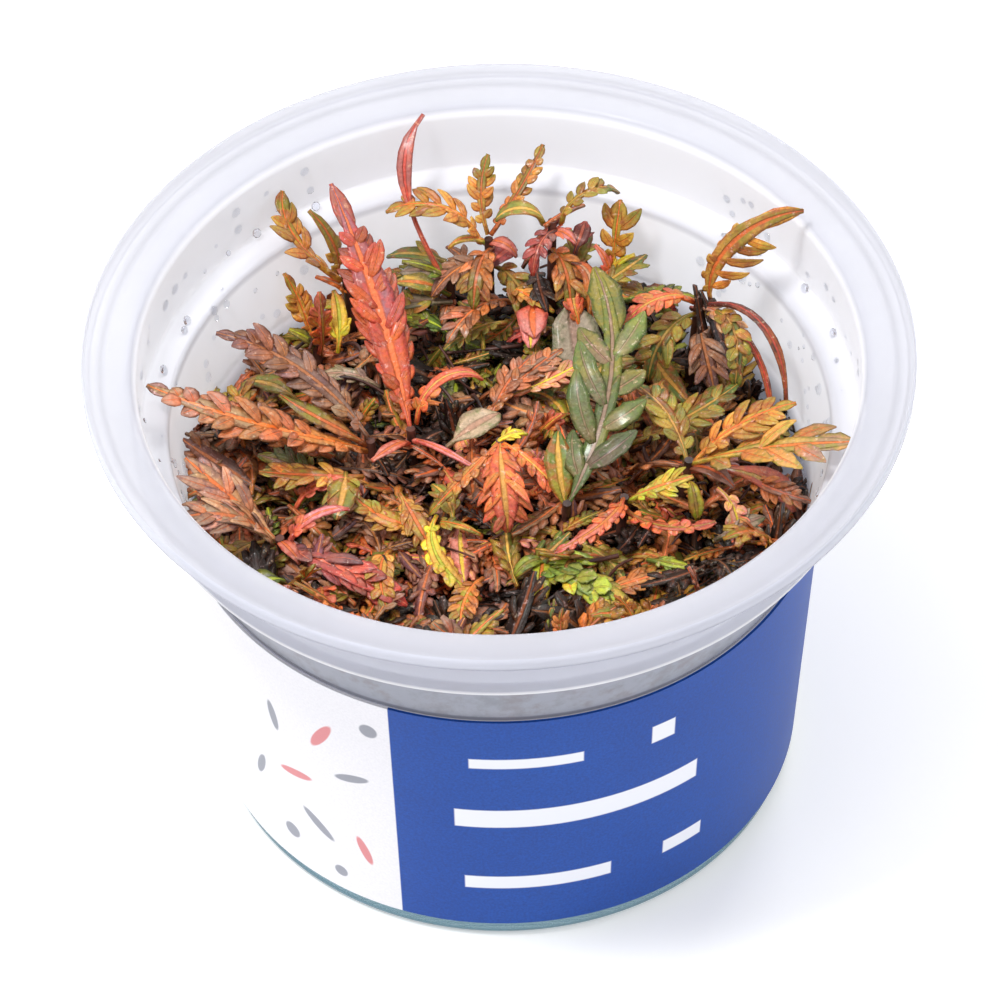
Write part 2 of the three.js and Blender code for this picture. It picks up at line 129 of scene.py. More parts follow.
CUP_INSIDE = [
    (2.2, (98, 150, 168), 0.58),
    (3.4, (200, 203, 218), 0.58),
    (40.0, (200, 203, 218), 0.58),
    # Painted light: the neck inside is brighter than outside, as if lit through the wall
    (44.5, (247, 248, 253), 0.84),
    (53.4, (247, 248, 253), 0.84),
    # Painted shade: the ledge inside is darker, to damp its highlight
    (54.0, (226, 226, 234), 0.84),
    (55.3, (226, 226, 234), 0.8),
    (56.0, (246, 247, 252), 0.86),
    (64.3, (246, 247, 252), 0.86),
    (64.9, (206, 207, 218), 0.78),
    (65.5, (212, 212, 220), 0.78),
]

# Painted light: a glow on the inside of the wall that stands in for daylight coming through it;
# the strongest, and its shares by height
GLOW = 0.4
GLOW_SHARES = [(40.0, 0), (44.5, 0.78), (53.4, 0.78), (54.0, 0.38), (64.3, 0.42), (64.9, 0), (65.5, 0.06)]

# Printed sleeve
LABEL_BOTTOM_Z = 2.9
LABEL_THICKNESS = 0.35
LABEL_GAP = 0.15
LABEL_OPENING = 10
LABEL_SIDES = 180

# Gel and the bed of small leaves above it
GEL_TOP_Z = 10
GEL_SIDES = 96
MENISCUS_RISE = 0.5
MENISCUS_WIDTH = 1.5
ROOT_DEPTH = 4
BED_Z = 44
BED_RADIUS = 37.5
BED_SPACING = 7.2
BED_ROW_SHARE = 0.866
BED_JITTER = 2.4
FRONT_BANK = 5
BANK_RADIUS = 26
BANK_WIDTH = 8
BANK_DEPTH = 20
SHADE_REACH = 4.5
SHADE_GAP = 1.5
BED_STALK_RADIUS = 0.5
TWIGS = 150
TWIG_REACH = 36
TWIG_LENGTHS = (5, 12)
TWIG_RADII = (0.14, 0.3)

# The set of small leaves that the bed is made of, and the turn from one leaf of a shoot to the next
LEAF_SHAPES = 12
SHAPE_LENGTH = 10
LEAF_TO_LEAF = 137.5

# Stems and leaves
STEM_RADIUS = 0.75
STEM_LEAN = 0.82
LEAF_START = 1.3
LEAF_THICKNESS = 0.34
NOTCH_SHARE = 0.85
LOBE_LIFT = 14
RIB_THICKNESS = 0.5
CLEARANCE = 0.3
SEED = 7

# Where a blade has points across it, from edge to edge
FINE_COLUMNS = (-1, -0.6, 0, 0.6, 1)
PLAIN_COLUMNS = (-1, 0, 1)

FLOOR_Z = BASE_RECESS + WALL

# Leaf and stem tones as screen colours, 0 to 255
TONES = {
    "pink": (222, 138, 124),
    "blush": (232, 168, 132),
    "salmon": (226, 112, 82),
    "red": (196, 66, 48),
    "coral": (232, 112, 46),
    "orange": (218, 128, 44),
    "amber": (214, 160, 66),
    "yellow": (240, 212, 50),
    "lime": (184, 192, 44),
    "leaf_green": (150, 170, 66),
    "olive": (150, 136, 40),
    "green": (92, 112, 42),
    "grey_green": (94, 104, 52),
    "taupe": (164, 124, 98),
    "mauve": (128, 84, 78),
    "rose": (158, 92, 88),
    "ember": (198, 84, 30),
    "stone": (170, 148, 116),
    "rust": (172, 84, 36),
    "sienna": (208, 122, 62),
    "sand": (216, 164, 118),
    "brown": (118, 62, 24),
    "umber": (44, 22, 12),
    "wine": (112, 36, 30),
    "pine": (26, 26, 12),
}

# Each leaf look's tones at the stalk, at the tip, along the rib and as blotches
LEAF_TONES = {
    "red": ("salmon", "pink", "coral", "red"),
    "orange": ("orange", "coral", "sand", "rust"),
    "yellow": ("yellow", "lime", "amber", "orange"),
    "olive": ("olive", "amber", "coral", "green"),
    "green": ("green", "olive", "lime", "pine"),
    "brown": ("rust", "taupe", "coral", "brown"),
    # The next two looks are near-black. The first is partly the plants' own dark leaves and stalks and
    # partly painted shade in the bed's gaps; the second is painted shade only, for leaves low in the bed
    "dark": ("umber", "umber", "brown", "pine"),
    "painted_shade": ("pine", "umber", "umber", "pine"),
    "spear": ("coral", "pink", "orange", "red"),
    "tongue": ("ember", "rose", "coral", "red"),
    "flame": ("coral", "salmon", "amber", "red"),
    "gold": ("amber", "olive", "coral", "rust"),
    "bronze": ("sienna", "olive", "coral", "brown"),
    "copper": ("sienna", "taupe", "coral", "brown"),
    "dusk": ("taupe", "mauve", "sienna", "brown"),
    "clay": ("sand", "taupe", "coral", "mauve"),
    "strap": ("salmon", "rose", "red", "rose"),
    "stalk": ("wine", "rust", "red", "umber"),
    "jade": ("grey_green", "olive", "taupe", "green"),
    "moss": ("olive", "green", "amber", "rust"),
    "fresh": ("leaf_green", "lime", "olive", "green"),
    "lemon": ("yellow", "amber", "lime", "orange"),
    "hazel": ("amber", "taupe", "coral", "olive"),
    "lime": ("lime", "amber", "coral", "olive"),
    "taupe": ("stone", "stone", "taupe", "grey_green"),
    "blush": ("blush", "pink", "yellow", "salmon"),
    "mauve": ("mauve", "red", "salmon", "wine"),
}


def blade(turn, rise, size, tint, lobes=1, cut=1, **more):
    """A row of the leaf tables, with its measures by name."""
    return dict(turn=turn, rise=rise, size=size, tint=tint, lobes=lobes, cut=cut, **more)


# Each shoot has a crown, where its leaves and its small side leaves part from the stem.
# A leaf starts `drop` below the crown. It heads off at turn[0] degrees from +X, seen from above,
# and rises at rise[0] degrees; turn[1] and rise[1] are how far these change by its tip.
# size is its length and its width over the lobes. tint is its group of colour, and look the tones
# that it shows where they differ. lobes is the number on each side, or 1 for a plain leaf, and cut
# the width left between them. left is the left half's share of the width, peak the place of the
# widest lobe, and roll turns the blade about its midrib. taper thins the outline to both ends, slant
# and broad are a lobe's angle and width, and end and end_broad the length and width of the lobe at
# the tip.
SHOOTS = [
    dict(
        name="red",
        crown=(-11, 5, 48),
        leaves=[
            blade(
                (103, 12), (30, -5), (32, 7.4), "red", 14, 0.75,
                look="tongue", peak=0.42, taper=1.3, slant=46, broad=0.58, end=0.24, end_broad=0.85,
            ),
            blade((245, -20), (45, -45), (8, 1.8), "red", drop=1.5),
            blade((50, -40), (75, -130), (12, 2.2), "orange", 2, 0.85, look="flame", drop=-1),
        ],
        sprigs=[blade((305, 30), (40, -65), (12, 1), "red", drop=2)],
    ),
    dict(
        name="back_left",
        crown=(-19, 28, 52),
        leaves=[
            blade((195, -115), (50, -25), (14, 6), "olive", 5, 0.3, look="gold", roll=-20),
            blade((140, 10), (95, -60), (10, 3), "orange", 2, 0.8, look="gold", drop=0.5),
        ],
        sprigs=[
            blade((210, -60), (70, -75), (5, 2.2), "orange", 2, 0.6, drop=3),
            blade((210, -30), (50, -60), (5, 1.8), "yellow", drop=6),
        ],
    ),
    dict(
        name="left_edge",
        crown=(-23, 24, 44),
        leaves=[
            blade((120, 25), (65, -10), (9, 3.6), "orange", 4, 0.4, look="gold"),
            blade((300, -20), (75, 30), (10, 3.4), "brown", 4, 0.4, look="flame"),
        ],
        sprigs=[blade((205, -45), (75, -60), (5, 2.2), "green", drop=1)],
    ),
    dict(
        name="strap",
        crown=(-6, 30, 50),
        leaves=[blade((170, -125), (70, -45), (22, 2.1), "red", look="strap", peak=0.72, taper=1.6)],
        sprigs=[
            blade((185, -5), (50, -40), (7, 3), "green", 2, 0.7, drop=1),
            blade((355, -35), (60, -80), (7, 1.8), "yellow", drop=2),
            blade((265, -35), (10, -80), (6, 2), "brown", 2, 0.7, drop=4),
        ],
    ),
    dict(
        name="back",
        crown=(-1, 32, 54),
        leaves=[
            blade((170, 10), (70, -105), (14, 5.5), "olive", 6, 0.22, look="gold"),
            blade((110, -50), (50, -10), (9, 3.6), "orange", 5, 0.4, look="gold", drop=-1),
            blade((40, 25), (40, -15), (12, 2.8), "brown", 7, 0.5, look="bronze", drop=-1),
        ],
        sprigs=[
            blade((185, -5), (55, -115), (6, 1.2), "olive", drop=1),
            blade((330, 5), (60, -135), (5, 2), "red", drop=1),
        ],
    ),
    dict(
        name="back_right",
        crown=(7, 31, 58),
        leaves=[
            blade((20, 10), (70, -130), (10, 3), "olive", 5, 0.35, look="moss"),
            blade((175, 15), (60, -120), (7, 2.6), "green", look="moss"),
        ],
        sprigs=[
            blade((35, 0), (10, -25), (5, 0.9), "brown"),
            blade((325, -5), (45, -90), (4, 2.6), "red", 2, 0.7, drop=2),
        ],
    ),
    dict(
        name="yellow_back",
        crown=(14, 30, 50),
        leaves=[
            blade((60, 15), (85, -25), (9, 5.4), "yellow", 3, 0.25, look="gold", peak=0.64, end=0.34),
        ],
        sprigs=[
            blade((5, -5), (70, -45), (5, 2), "yellow", 2, 0.6, drop=1),
            blade((135, 10), (95, -65), (5, 2.4), "red", 2, 0.6, drop=1),
            blade((245, 20), (20, -90), (9, 4.4), "orange", 3, 0.6),
        ],
    ),
    dict(
        name="green",
        crown=(8, -9, 49),
        leaves=[
            blade(
                (55, 55), (35, -30), (32, 10), "green", 4, 0.3,
                look="jade", peak=0.36, taper=0.5, slant=44, broad=0.34, end=0.36, end_broad=0.5,
            ),
            blade((105, -20), (55, -40), (9, 3.6), "green", look="moss", drop=1.5),
        ],
        sprigs=[],
    ),
    dict(
        name="right_back",
        crown=(25, 19, 56),
        leaves=[
            blade(
                (15, -5), (95, -100), (19, 10), "olive", 5, 0.3,
                look="gold", left=0.3, roll=-60, slant=66, broad=0.36, end=0.4, end_broad=0.36,
            ),
            blade((200, 15), (40, -80), (10, 3.8), "orange", 6, 0.5, look="flame"),
            blade((320, -75), (45, -135), (14, 3.2), "green", 6, 0.6, look="moss", drop=2),
            blade((335, -60), (35, -110), (19, 1.3), "brown", look="stalk", drop=1),
        ],
        sprigs=[blade((330, -55), (15, -100), (20, 1), "stalk", drop=2)],
    ),
    dict(
        name="right",
        crown=(23, -4, 51),
        leaves=[
            blade(
                (340, 15), (35, -30), (21, 9.5), "brown", 4, 0.3,
                look="hazel", peak=0.62, slant=44, broad=0.4, end=0.3, end_broad=0.5,
            ),
            blade((15, 0), (50, -50), (14, 5.5), "olive", 6, 0.3, look="gold"),
            blade((105, 30), (30, -35), (12, 5), "olive", 6, 0.4, look="moss", drop=1),
            blade((275, 10), (60, -160), (7, 1.9), "yellow", drop=3, peak=0.65),
        ],
        sprigs=[
            blade((330, 0), (45, -95), (7, 2.4), "brown", drop=1.5),
            blade((0, -10), (15, -80), (16, 5), "flame", drop=2, peak=0.78),
        ],
    ),
    dict(
        name="orange_right",
        crown=(15, -9, 50),
        leaves=[
            blade((345, 35), (45, -45), (8, 4), "yellow", 5, 0.6, look="lime"),
            blade((255, -70), (20, -50), (12, 2.8), "red", 8, 0.75, look="spear", peak=0.3),
            blade((300, 85), (15, -15), (12, 2.4), "orange", 5, 0.6, look="flame", drop=2),
        ],
        sprigs=[],
    ),
    dict(
        name="front_green",
        crown=(5, -15, 45),
        leaves=[
            blade((300, 40), (40, -85), (15, 3.6), "green", 4, 0.9, look="fresh", taper=0.5, broad=0.66),
        ],
        sprigs=[
            blade((215, -5), (60, -120), (5, 2), "fresh", taper=0.45),
            blade((262, 10), (40, -130), (7, 2.4), "lime", taper=0.45),
            blade((340, 20), (40, -65), (7, 2.4), "fresh", taper=0.45),
        ],
    ),
    dict(
        name="centre",
        crown=(0, -1, 52),
        leaves=[
            blade((270, 10), (30, -115), (13, 6.6), "red", 8, 0.6, look="flame", peak=0.55),
            blade((318, 5), (0, -50), (10, 3), "orange", 5, 0.6, look="flame", drop=0.5),
            blade((235, -35), (0, -50), (12, 2.2), "orange", 6, 0.7, look="bronze", drop=0.5),
        ],
        sprigs=[blade((20, 10), (30, -80), (4, 2.6), "yellow", 2, 0.6)],
    ),
    dict(
        name="front_yellow",
        crown=(-8, -9, 47),
        leaves=[
            blade((255, 100), (0, -40), (13, 2.6), "yellow", 6, 0.9, look="lemon", broad=0.6),
            blade((185, -50), (5, 20), (10, 3.8), "orange", 6, 0.8, look="gold", drop=2, broad=0.6),
        ],
        sprigs=[blade((335, 10), (25, -55), (6, 2.2), "olive", 2, 0.6, drop=1)],
    ),
    dict(
        name="left",
        crown=(-16, 4, 47),
        leaves=[
            blade((210, -55), (40, -30), (30, 6.4), "orange", 12, 0.6, look="copper", drop=1, broad=0.6),
            blade((190, -50), (45, -35), (12, 2.6), "brown", look="bronze"),
            blade((140, 35), (40, -25), (22, 6), "brown", 10, 0.5, look="dusk", drop=-1, broad=0.6),
        ],
        sprigs=[],
    ),
    dict(
        name="lower_left",
        crown=(-27, -13, 48),
        leaves=[
            blade((160, -20), (45, -25), (14, 6), "brown", 6, 0.7, look="clay", slant=40, broad=0.6),
            blade((200, -10), (70, -75), (14, 6), "brown", 6, 0.7, look="clay", slant=40, broad=0.6),
            blade((20, -5), (65, -90), (9, 2.4), "red", 2, 0.75, drop=1),
            blade(
                (325, 10), (15, -40), (17, 4.4), "red", 7, 0.9,
                look="mauve", drop=1.5, slant=34, broad=0.62,
            ),
        ],
        sprigs=[blade((290, 35), (60, -125), (5, 1.8), "red", drop=1)],
    ),
]

# Distinct leaves of the bed, each after its start at x, y and z
FRONDS = [
    ((10.5, 15.7, 45), blade((100, 0), (28, 8), (10, 6.5), "taupe")),
    ((-6, 31.7, 48), blade((163, -8), (5, -40), (7, 4), "taupe")),
    ((-6.6, 33, 49), blade((167, -8), (20, -56), (8, 3.6), "moss", 2, 0.8)),
    ((-5.6, 2.9, 48), blade((24, 20), (30, -50), (7, 4.4), "taupe")),
    ((0, 9.6, 48), blade((40, 5), (22, -30), (11, 4), "copper", 7, 0.5)),
    ((-1, 8, 47), blade((65, -20), (30, -30), (10, 4), "copper", 7, 0.5)),
    ((3, 11, 48), blade((10, 30), (20, -20), (9, 3.6), "blush", 6, 0.5)),
    ((-24.7, -4.9, 46), blade((41, -95), (42, -60), (9, 2.4), "red", 3, 0.9)),
    ((27.3, -8.1, 49), blade((314, -54), (-24, -62), (7.5, 3.2), "blush", 3, 0.6)),
    ((17.3, 4.3, 46), blade((4, 31), (26, -10), (14, 5.6), "moss", 7, 0.4)),
    ((18.8, 15.9, 50), blade((289, 59), (-16, -41), (9, 4), "moss", 2, 0.9)),
    ((-22, 3, 46), blade((172, -25), (24, -12), (14, 6), "copper", 7, 0.4)),
    ((-22, -3, 46), blade((150, 10), (30, -30), (9, 5.5), "jade", 4, 0.6)),
    ((-18, -2, 47), blade((200, -30), (20, -20), (12, 5), "gold", 6, 0.5)),
    ((12, -20, 45), blade((8, 20), (14, -20), (9, 3.8), "bronze", 5, 0.5)),
    ((18.5, -16, 46), blade((320, 40), (25, -40), (5, 2.6), "fresh", 2, 0.7)),
    ((-3, -18, 45), blade((240, 30), (20, -40), (9, 4), "bronze", 5, 0.5)),
    ((-14, -14, 46), blade((250, 40), (25, -50), (10, 4), "gold", 5, 0.5)),
    ((-30, -12, 46), blade((215, 40), (15, -30), (9, 5), "moss", 4, 0.6)),
    ((20, 26, 48), blade((150, 20), (15, -40), (10, 5), "moss", 5, 0.5)),
    ((-12, 24, 46), blade((60, 25), (20, -30), (12, 5), "moss", 6, 0.4)),
    ((-7, 29, 48), blade((175, 0), (30, -40), (6, 3), "olive")),
    ((-7, 28, 47), blade((185, 0), (10, -30), (9, 2.6), "taupe")),
    ((-3, 29, 50), blade((110, 30), (30, -40), (6, 3), "dusk", 3, 0.6)),
    ((-1, 30, 51), blade((30, 30), (40, -80), (5, 3), "mauve")),
    ((2, 28, 49), blade((300, 40), (30, -60), (7, 3), "gold", 3, 0.7)),
    ((5, 25, 48), blade((250, 20), (20, -60), (6, 4), "blush", 2, 0.9)),
    ((8, 29, 50), blade((40, 40), (45, -60), (8, 4.4), "moss", 3, 0.8)),
    ((9, 28, 49), blade((330, 30), (20, -40), (8, 4), "olive", 5, 0.6)),
    ((10, 31, 53), blade((60, 20), (50, -60), (4, 3), "mauve", 2, 0.9)),
    ((13, 27, 50), blade((20, 40), (30, -50), (8, 4), "moss", 5, 0.6)),
    ((17, 25, 50), blade((350, 20), (25, -50), (8, 3.4), "green", 5, 0.6)),
    ((0, 24, 47), blade((200, 20), (10, -30), (8, 3.4), "moss", 5, 0.6)),
    ((5, 30, 50), blade((270, 20), (20, -50), (7, 3.4), "dark", 4, 0.6)),
    ((1, 27, 48), blade((210, 30), (30, -60), (11, 4.4), "copper", 6, 0.4)),
    ((24.6, 18.4, 57), blade((295, 10), (-70, -10), (15, 1.6), "dark")),
    ((25.6, 18.6, 56), blade((320, 10), (-60, -20), (12, 3.4), "dark", 3, 0.9)),
    ((11.5, 23, 50), blade((60, 90), (75, -100), (8, 2), "orange")),
    ((10, 22, 49), blade((120, -60), (60, -60), (7, 3), "flame", 4, 0.7)),
    ((4.5, 25, 49), blade((260, 20), (10, -40), (5, 4), "red")),
    ((-2, 22, 46), blade((100, 30), (20, -30), (7, 3.6), "moss", 4, 0.7)),
    ((-7, 24, 46), blade((150, 30), (20, -30), (6, 3.6), "green", 3, 0.8)),
    ((-16, 17, 44), blade((170, 20), (30, -40), (7, 3), "taupe", 3, 0.8)),
    ((20, 11, 49), blade((250, 30), (20, -50), (7, 4), "gold", 2, 0.9)),
    ((17, 17, 47), blade((200, 30), (30, -60), (8, 4), "moss")),
    ((-15, -24, 46), blade((60, 40), (10, -30), (7, 4), "dusk", 4, 0.7)),
    ((6, -17, 45.5), blade((305, 45), (30, -60), (13, 5.5), "lime", 4, 0.8)),
    ((-20, 22, 46), blade((80, 30), (50, -40), (7, 3), "lemon", 2, 0.8)),
    ((-24, 27, 45), blade((110, 30), (50, -40), (5, 3), "orange")),
    ((-26, 14, 45), blade((150, 20), (20, -30), (6, 3), "moss")),
    ((-27, -19, 47), blade((200, 30), (30, -60), (5, 4), "green")),
    ((-19, -3, 48), blade((270, -20), (20, -50), (7, 5), "moss", 2, 0.9)),
    ((-12, -6, 47), blade((290, 10), (10, -40), (8, 4), "gold", 5, 0.7)),
    ((-6, -8, 46), blade((100, 30), (20, -40), (6, 3.4), "moss", 3, 0.8)),
    ((27, -12, 46), blade((20, 20), (20, -40), (6, 4), "taupe", 3, 0.8)),
    ((7.5, 34.8, 54), blade((195, 10), (-50, -10), (8, 1.6), "stalk")),
    ((30, -3, 47), blade((300, 60), (20, -40), (10, 4), "copper", 6, 0.5)),
    ((-1, 31, 53), blade((245, 20), (20, -90), (9, 5), "bronze", 4, 0.5)),
    ((-2, 31, 51), blade((200, 20), (10, -60), (8, 4.5), "dusk", 3, 0.4)),
    ((0, 31, 50), blade((320, -30), (0, -60), (9, 5), "moss", 4, 0.5)),
    ((7, 30, 57), blade((230, 30), (20, -90), (7, 3.6), "mauve", 3, 0.4)),
    ((7, 30, 54), blade((300, -30), (10, -80), (9, 4.6), "bronze", 4, 0.5)),
    ((24, 18, 54), blade((215, 30), (10, -90), (11, 5.5), "moss", 4, 0.4)),
    ((25, 18, 52), blade((275, 20), (0, -70), (9, 5), "dusk", 4, 0.5)),
    ((26, 18, 55), blade((320, -20), (20, -90), (8, 4), "clay", 3, 0.5)),
]

# Places of the open, lower parts of the bed: x, y, radius and depth
HOLLOWS = [
    (-13, 14, 6, 12),
    (-13, 25, 6, 18),
    (-22, 33, 7, 13),
    (-4, 36, 4, 10),
    (1, 20, 3, 14),
    (22, 31, 7, 12),
    (28, 23, 7, 14),
    (31, 5, 8, 16),
    (37, 5, 5, 12),
]

# Leaf colours of the bed by place; the near-black ones are partly painted shade in its gaps
BED_ZONES = [
    (-28, -8, ("copper", "dusk", "bronze", "moss", "copper", "green")),
    (-18, -24, ("dusk", "spear", "bronze", "dark", "copper", "moss")),
    (-2, -32, ("brown", "bronze", "dark", "moss", "copper", "dark")),
    (6, -22, ("moss", "bronze", "dusk", "dark")),
    (22, -24, ("bronze", "brown", "dark", "dark", "gold")),
    (33, -8, ("bronze", "brown", "gold", "dark")),
    (0, 0, ("flame", "copper", "brown", "blush", "dark")),
    (-14, 12, ("copper", "dark", "dusk", "bronze", "dark")),
    (-26, 20, ("bronze", "moss", "copper", "dusk")),
    (-2, 26, ("moss", "olive", "dark", "green", "green", "dusk")),
    (8, 28, ("moss", "green", "dark", "mauve", "gold")),
    (14, 12, ("dusk", "copper", "olive", "moss", "copper")),
    (26, 18, ("dark", "moss", "bronze", "dark")),
]

# Layers of the bed. Each tier of leaves has how far it is below the bed's height, its leaves to a
# shoot, their lengths, how steeply they rise, and their colours where these don't follow the place.
# The lower tiers are mostly near-black: painted shade under the top leaves
BED_LAYERS = {
    "small_leaves_top": [(-1, 5, (5, 11), (5, 75), None)],
    "small_leaves_middle": [
        (4, 6, (7, 12), (-10, 50), ("brown", "dark", "green", "dark", "painted_shade", "dusk")),
    ],
    "small_leaves_low": [
        (11, 4, (8, 13), (-20, 30), ("painted_shade", "dark")),
        (19, 3, (8, 13), (-20, 30), ("painted_shade",)),
    ],
    "small_leaves_between": [(-1, 4, (5, 11), (5, 75), None)],
}

# Print on the sleeve, in mm from the front's middle and from the base: each bar's middle and half
# size, and each petal's middle, half size and turn, by tone
LABEL_SEAM = -14.2
LABEL_BARS = [
    ((2.5, 35.5), (7.0, 0.9)),
    ((20, 35.5), (1.6, 1.6)),
    ((9.5, 24.5), (16, 1.7)),
    ((4.0, 11.5), (9.5, 1.2)),
    ((24, 11.5), (3.0, 1.2)),
]
LABEL_MARKS = {
    (214, 96, 100): [
        ((-24, 33), (3.2, 0.8), 60),
        ((-29, 22), (2.8, 0.7), 15),
        ((-19, 13), (2.6, 0.7), 110),
    ],
    (120, 124, 138): [
        ((-20, 27), (2.6, 0.7), 20),
        ((-26, 14), (3.0, 0.8), 140),
        ((-32, 31), (2.6, 0.7), 100),
        ((-17, 38), (1.2, 1.2), 0),
        ((-36, 18), (2.4, 0.7), 70),
        ((-23, 6.5), (1.0, 1.0), 0),
        ((-31, 9), (1.3, 1.3), 0),
    ],
}

# Wet parts of the wall: azimuths, heights and drops to the square metre
WET_PATCHES = [
    ((120, 205), (46, 62), 6e4),
    ((-20, 50), (46, 61), 8e4),
]

# Camera, as fitted to the cup's circles in the photograph
CAMERA_ELEVATION = 46.95
CAMERA_DISTANCE = 808
CAMERA_TARGET_Z = 40.15
CAMERA_LENS = 235.04
CAMERA_SHIFT = -0.0012
CAMERA_ROLL = -1.005

# Studio: the floor's half side, and each light's place in metres, its side and its power
STUDIO_REACH = 2000
WORLD_STRENGTH = 0.68
LIGHTS = {
    "key": ((-0.25, -0.15, 0.8), 0.14, 4.0),
    "back": ((0.2, 0.5, 0.6), 0.2, 1.4),
}


def linear(tone):
    """A screen colour as the linear one that shaders use."""
    shares = np.array(tone, float) / 255
    return np.where(shares <= 0.04045, shares / 12.92, ((shares + 0.055) / 1.055) ** 2.4)


def paint(tone):
    """A screen colour as a shader colour with alpha."""
    return (*linear(tone), 1.0)


class Wire:
    """A socket in a node tree, with arithmetic on it."""

    def __init__(self, tree, socket=None):
        self.tree = tree
        self.socket = socket

    def node(self, kind, inputs=None, output=0, stops=None, **settings):
        """Any node: its settings and colour stops first, then the values or links of its sockets."""
        made = self.tree.nodes.new(kind)
        for name, value in settings.items():
            setattr(made, name, value)
        if stops:
            ramp = made.color_ramp
            while len(ramp.elements) < len(stops):
                ramp.elements.new(0.5)
            for element, (place, colour) in zip(ramp.elements, stops):
                element.position = place
                element.color = colour
        for key, value in (inputs or {}).items():
            if isinstance(value, Wire):
                self.tree.links.new(value.socket, made.inputs[key])
            else:
                made.inputs[key].default_value = value
        return Wire(self.tree, made.outputs[output] if len(made.outputs) else None)

    def math(self, operation, *values):
        return self.node("ShaderNodeMath", dict(enumerate(values)), operation=operation)

    def vector(self, operation, *values):
        return self.node("ShaderNodeVectorMath", dict(enumerate(values)), operation=operation)

    def __add__(self, other):
        return self.math("ADD", self, other)

    def __radd__(self, other):
        return self.math("ADD", other, self)

    def __sub__(self, other):
        return self.math("SUBTRACT", self, other)

    def __rsub__(self, other):
        return self.math("SUBTRACT", other, self)

    def __mul__(self, other):
        return self.math("MULTIPLY", self, other)

    def __truediv__(self, other):
        return self.math("DIVIDE", self, other)

    def part(self, axis):
        """One number of a vector."""
        return self.node("ShaderNodeSeparateXYZ", {0: self}, axis)

    def between(self, low, high):
        """0 below low, 1 above high and a smooth rise from one to the other."""
        inputs = {"Value": self, "From Min": low, "From Max": high}
        return self.node("ShaderNodeMapRange", inputs, interpolation_type="SMOOTHSTEP")

    def blend(self, first, second):
        """A colour that goes from first to second as this value goes from 0 to 1."""
        return self.node("ShaderNodeMix", {0: self, 6: first, 7: second}, 2, data_type="RGBA")

    def times(self, colour):
        """A colour made lighter or darker by this value."""
        return self.node("ShaderNodeVectorMath", {0: colour, "Scale": self}, operation="SCALE")


def new_material(name, **constants):
    """A material with a Principled shader, its constant sockets set, and a wire with places on it."""
    material = bpy.data.materials.new(name)
    material.use_nodes = True
    shader = material.node_tree.nodes["Principled BSDF"]
    for key, value in constants.items():
        shader.inputs[key.replace("_", " ")].default_value = value
    place = Wire(material.node_tree).node("ShaderNodeTexCoord", output="Object")
    return material, shader, place


def plug(shader, name, wire):
    """Joins a wire to one of the shader's sockets."""
    wire.tree.links.new(wire.socket, shader.inputs[name])


def noise(place, scale, detail=3.0, roughness=0.55):
    """A value about 0.5 that varies with the place."""
    inputs = {"Vector": place, "Scale": scale, "Detail": detail, "Roughness": roughness}
    return place.node("ShaderNodeTexNoise", inputs, "Fac")


def bumped(height, strength, distance):
    """A surface direction that follows a height."""
    inputs = {"Height": height, "Strength": strength, "Distance": distance}
    return height.node("ShaderNodeBump", inputs, "Normal")


def largest(wires):
    """The greatest of several values."""
    most = wires[0]
    for wire in wires[1:]:
        most = most.math("MAXIMUM", most, wire)
    return most


def leaf_material():
    """Wet, blotched leaf with a bright midrib, a vein along every lobe and small painted highlights."""
    material, shader, place = new_material("leaf", Specular_IOR_Level=0.55, Coat_Roughness=0.2)
    uv = place.node("ShaderNodeUVMap", uv_map="blade")
    across = uv.math("ABSOLUTE", uv.part(0) * 2 - 1)
    along = uv.part(1)
    names = ("tint", "tip", "rib", "blotch", "place", "hue")
    tint, tip, rib, blotch, share, hue = (
        place.node("ShaderNodeAttribute", attribute_name=name, output="Color") for name in names
    )
    in_lobe = share.part(1)
    patches = noise(place, 260.0, 2.0)
    tissue = (share.part(0) + (patches - 0.5) * 1.6).between(0.15, 0.9).blend(tint, tip)
    inner = (1 - along) * in_lobe
    tissue = (inner.between(0.3, 1.0) * 0.5).blend(tissue, rib)
    blotches = noise(place, 620.0, 3.0).between(0.48, 0.64)
    tissue = (blotches * 0.7).blend(tissue, blotch)
    edge = across.between(0.55, 1.0) * noise(place, 900.0).between(0.4, 0.58)
    tissue = (edge * 0.7).blend(tissue, blotch)
    midrib = (1 - across.between(0.12, 0.3)) * (1 - in_lobe)
    vein = (1 - across.between(0.04, 0.14)) * in_lobe * (1 - along.between(0.5, 1.0) * 0.7)
    veins = largest([midrib * 0.9, vein * 0.6])
    colour = veins.blend(tissue, rib)
    # Painted highlight: small pale spots that stand in for wet glints
    glint = noise(place, 1300.0, 4.0, roughness=0.7).between(0.58, 0.68)
    colour = (glint * 0.38).blend(colour, paint((250, 214, 184)))
    mottle = noise(place, 2100.0, 4.0)
    plug(shader, "Base Color", (mottle * 1.2 + 0.5).times(hue.vector("MULTIPLY", hue, colour)))
    plug(shader, "Roughness", 0.34 + mottle * 0.3)
    plug(shader, "Coat Weight", 0.15 + blotches * 0.3)
    relief = mottle * 0.6 - veins * 0.8
    plug(shader, "Normal", bumped(relief, 0.8, 0.0004))
    return material


def stem_material():
    """Dark, slightly shiny stalk with fine lengthwise streaks."""
    material, shader, place = new_material("stem", Specular_IOR_Level=0.5)
    streaks = noise(place, 1400.0, 3.0)
    patches = noise(place, 260.0, 2.0).between(0.4, 0.62)
    colour = patches.blend(paint((94, 56, 46)), paint((46, 27, 23)))
    plug(shader, "Base Color", (streaks * 0.9 + 0.6).times(colour))
    plug(shader, "Roughness", 0.3 + streaks * 0.3)
    plug(shader, "Normal", bumped(streaks, 0.4, 0.0002))
    return material


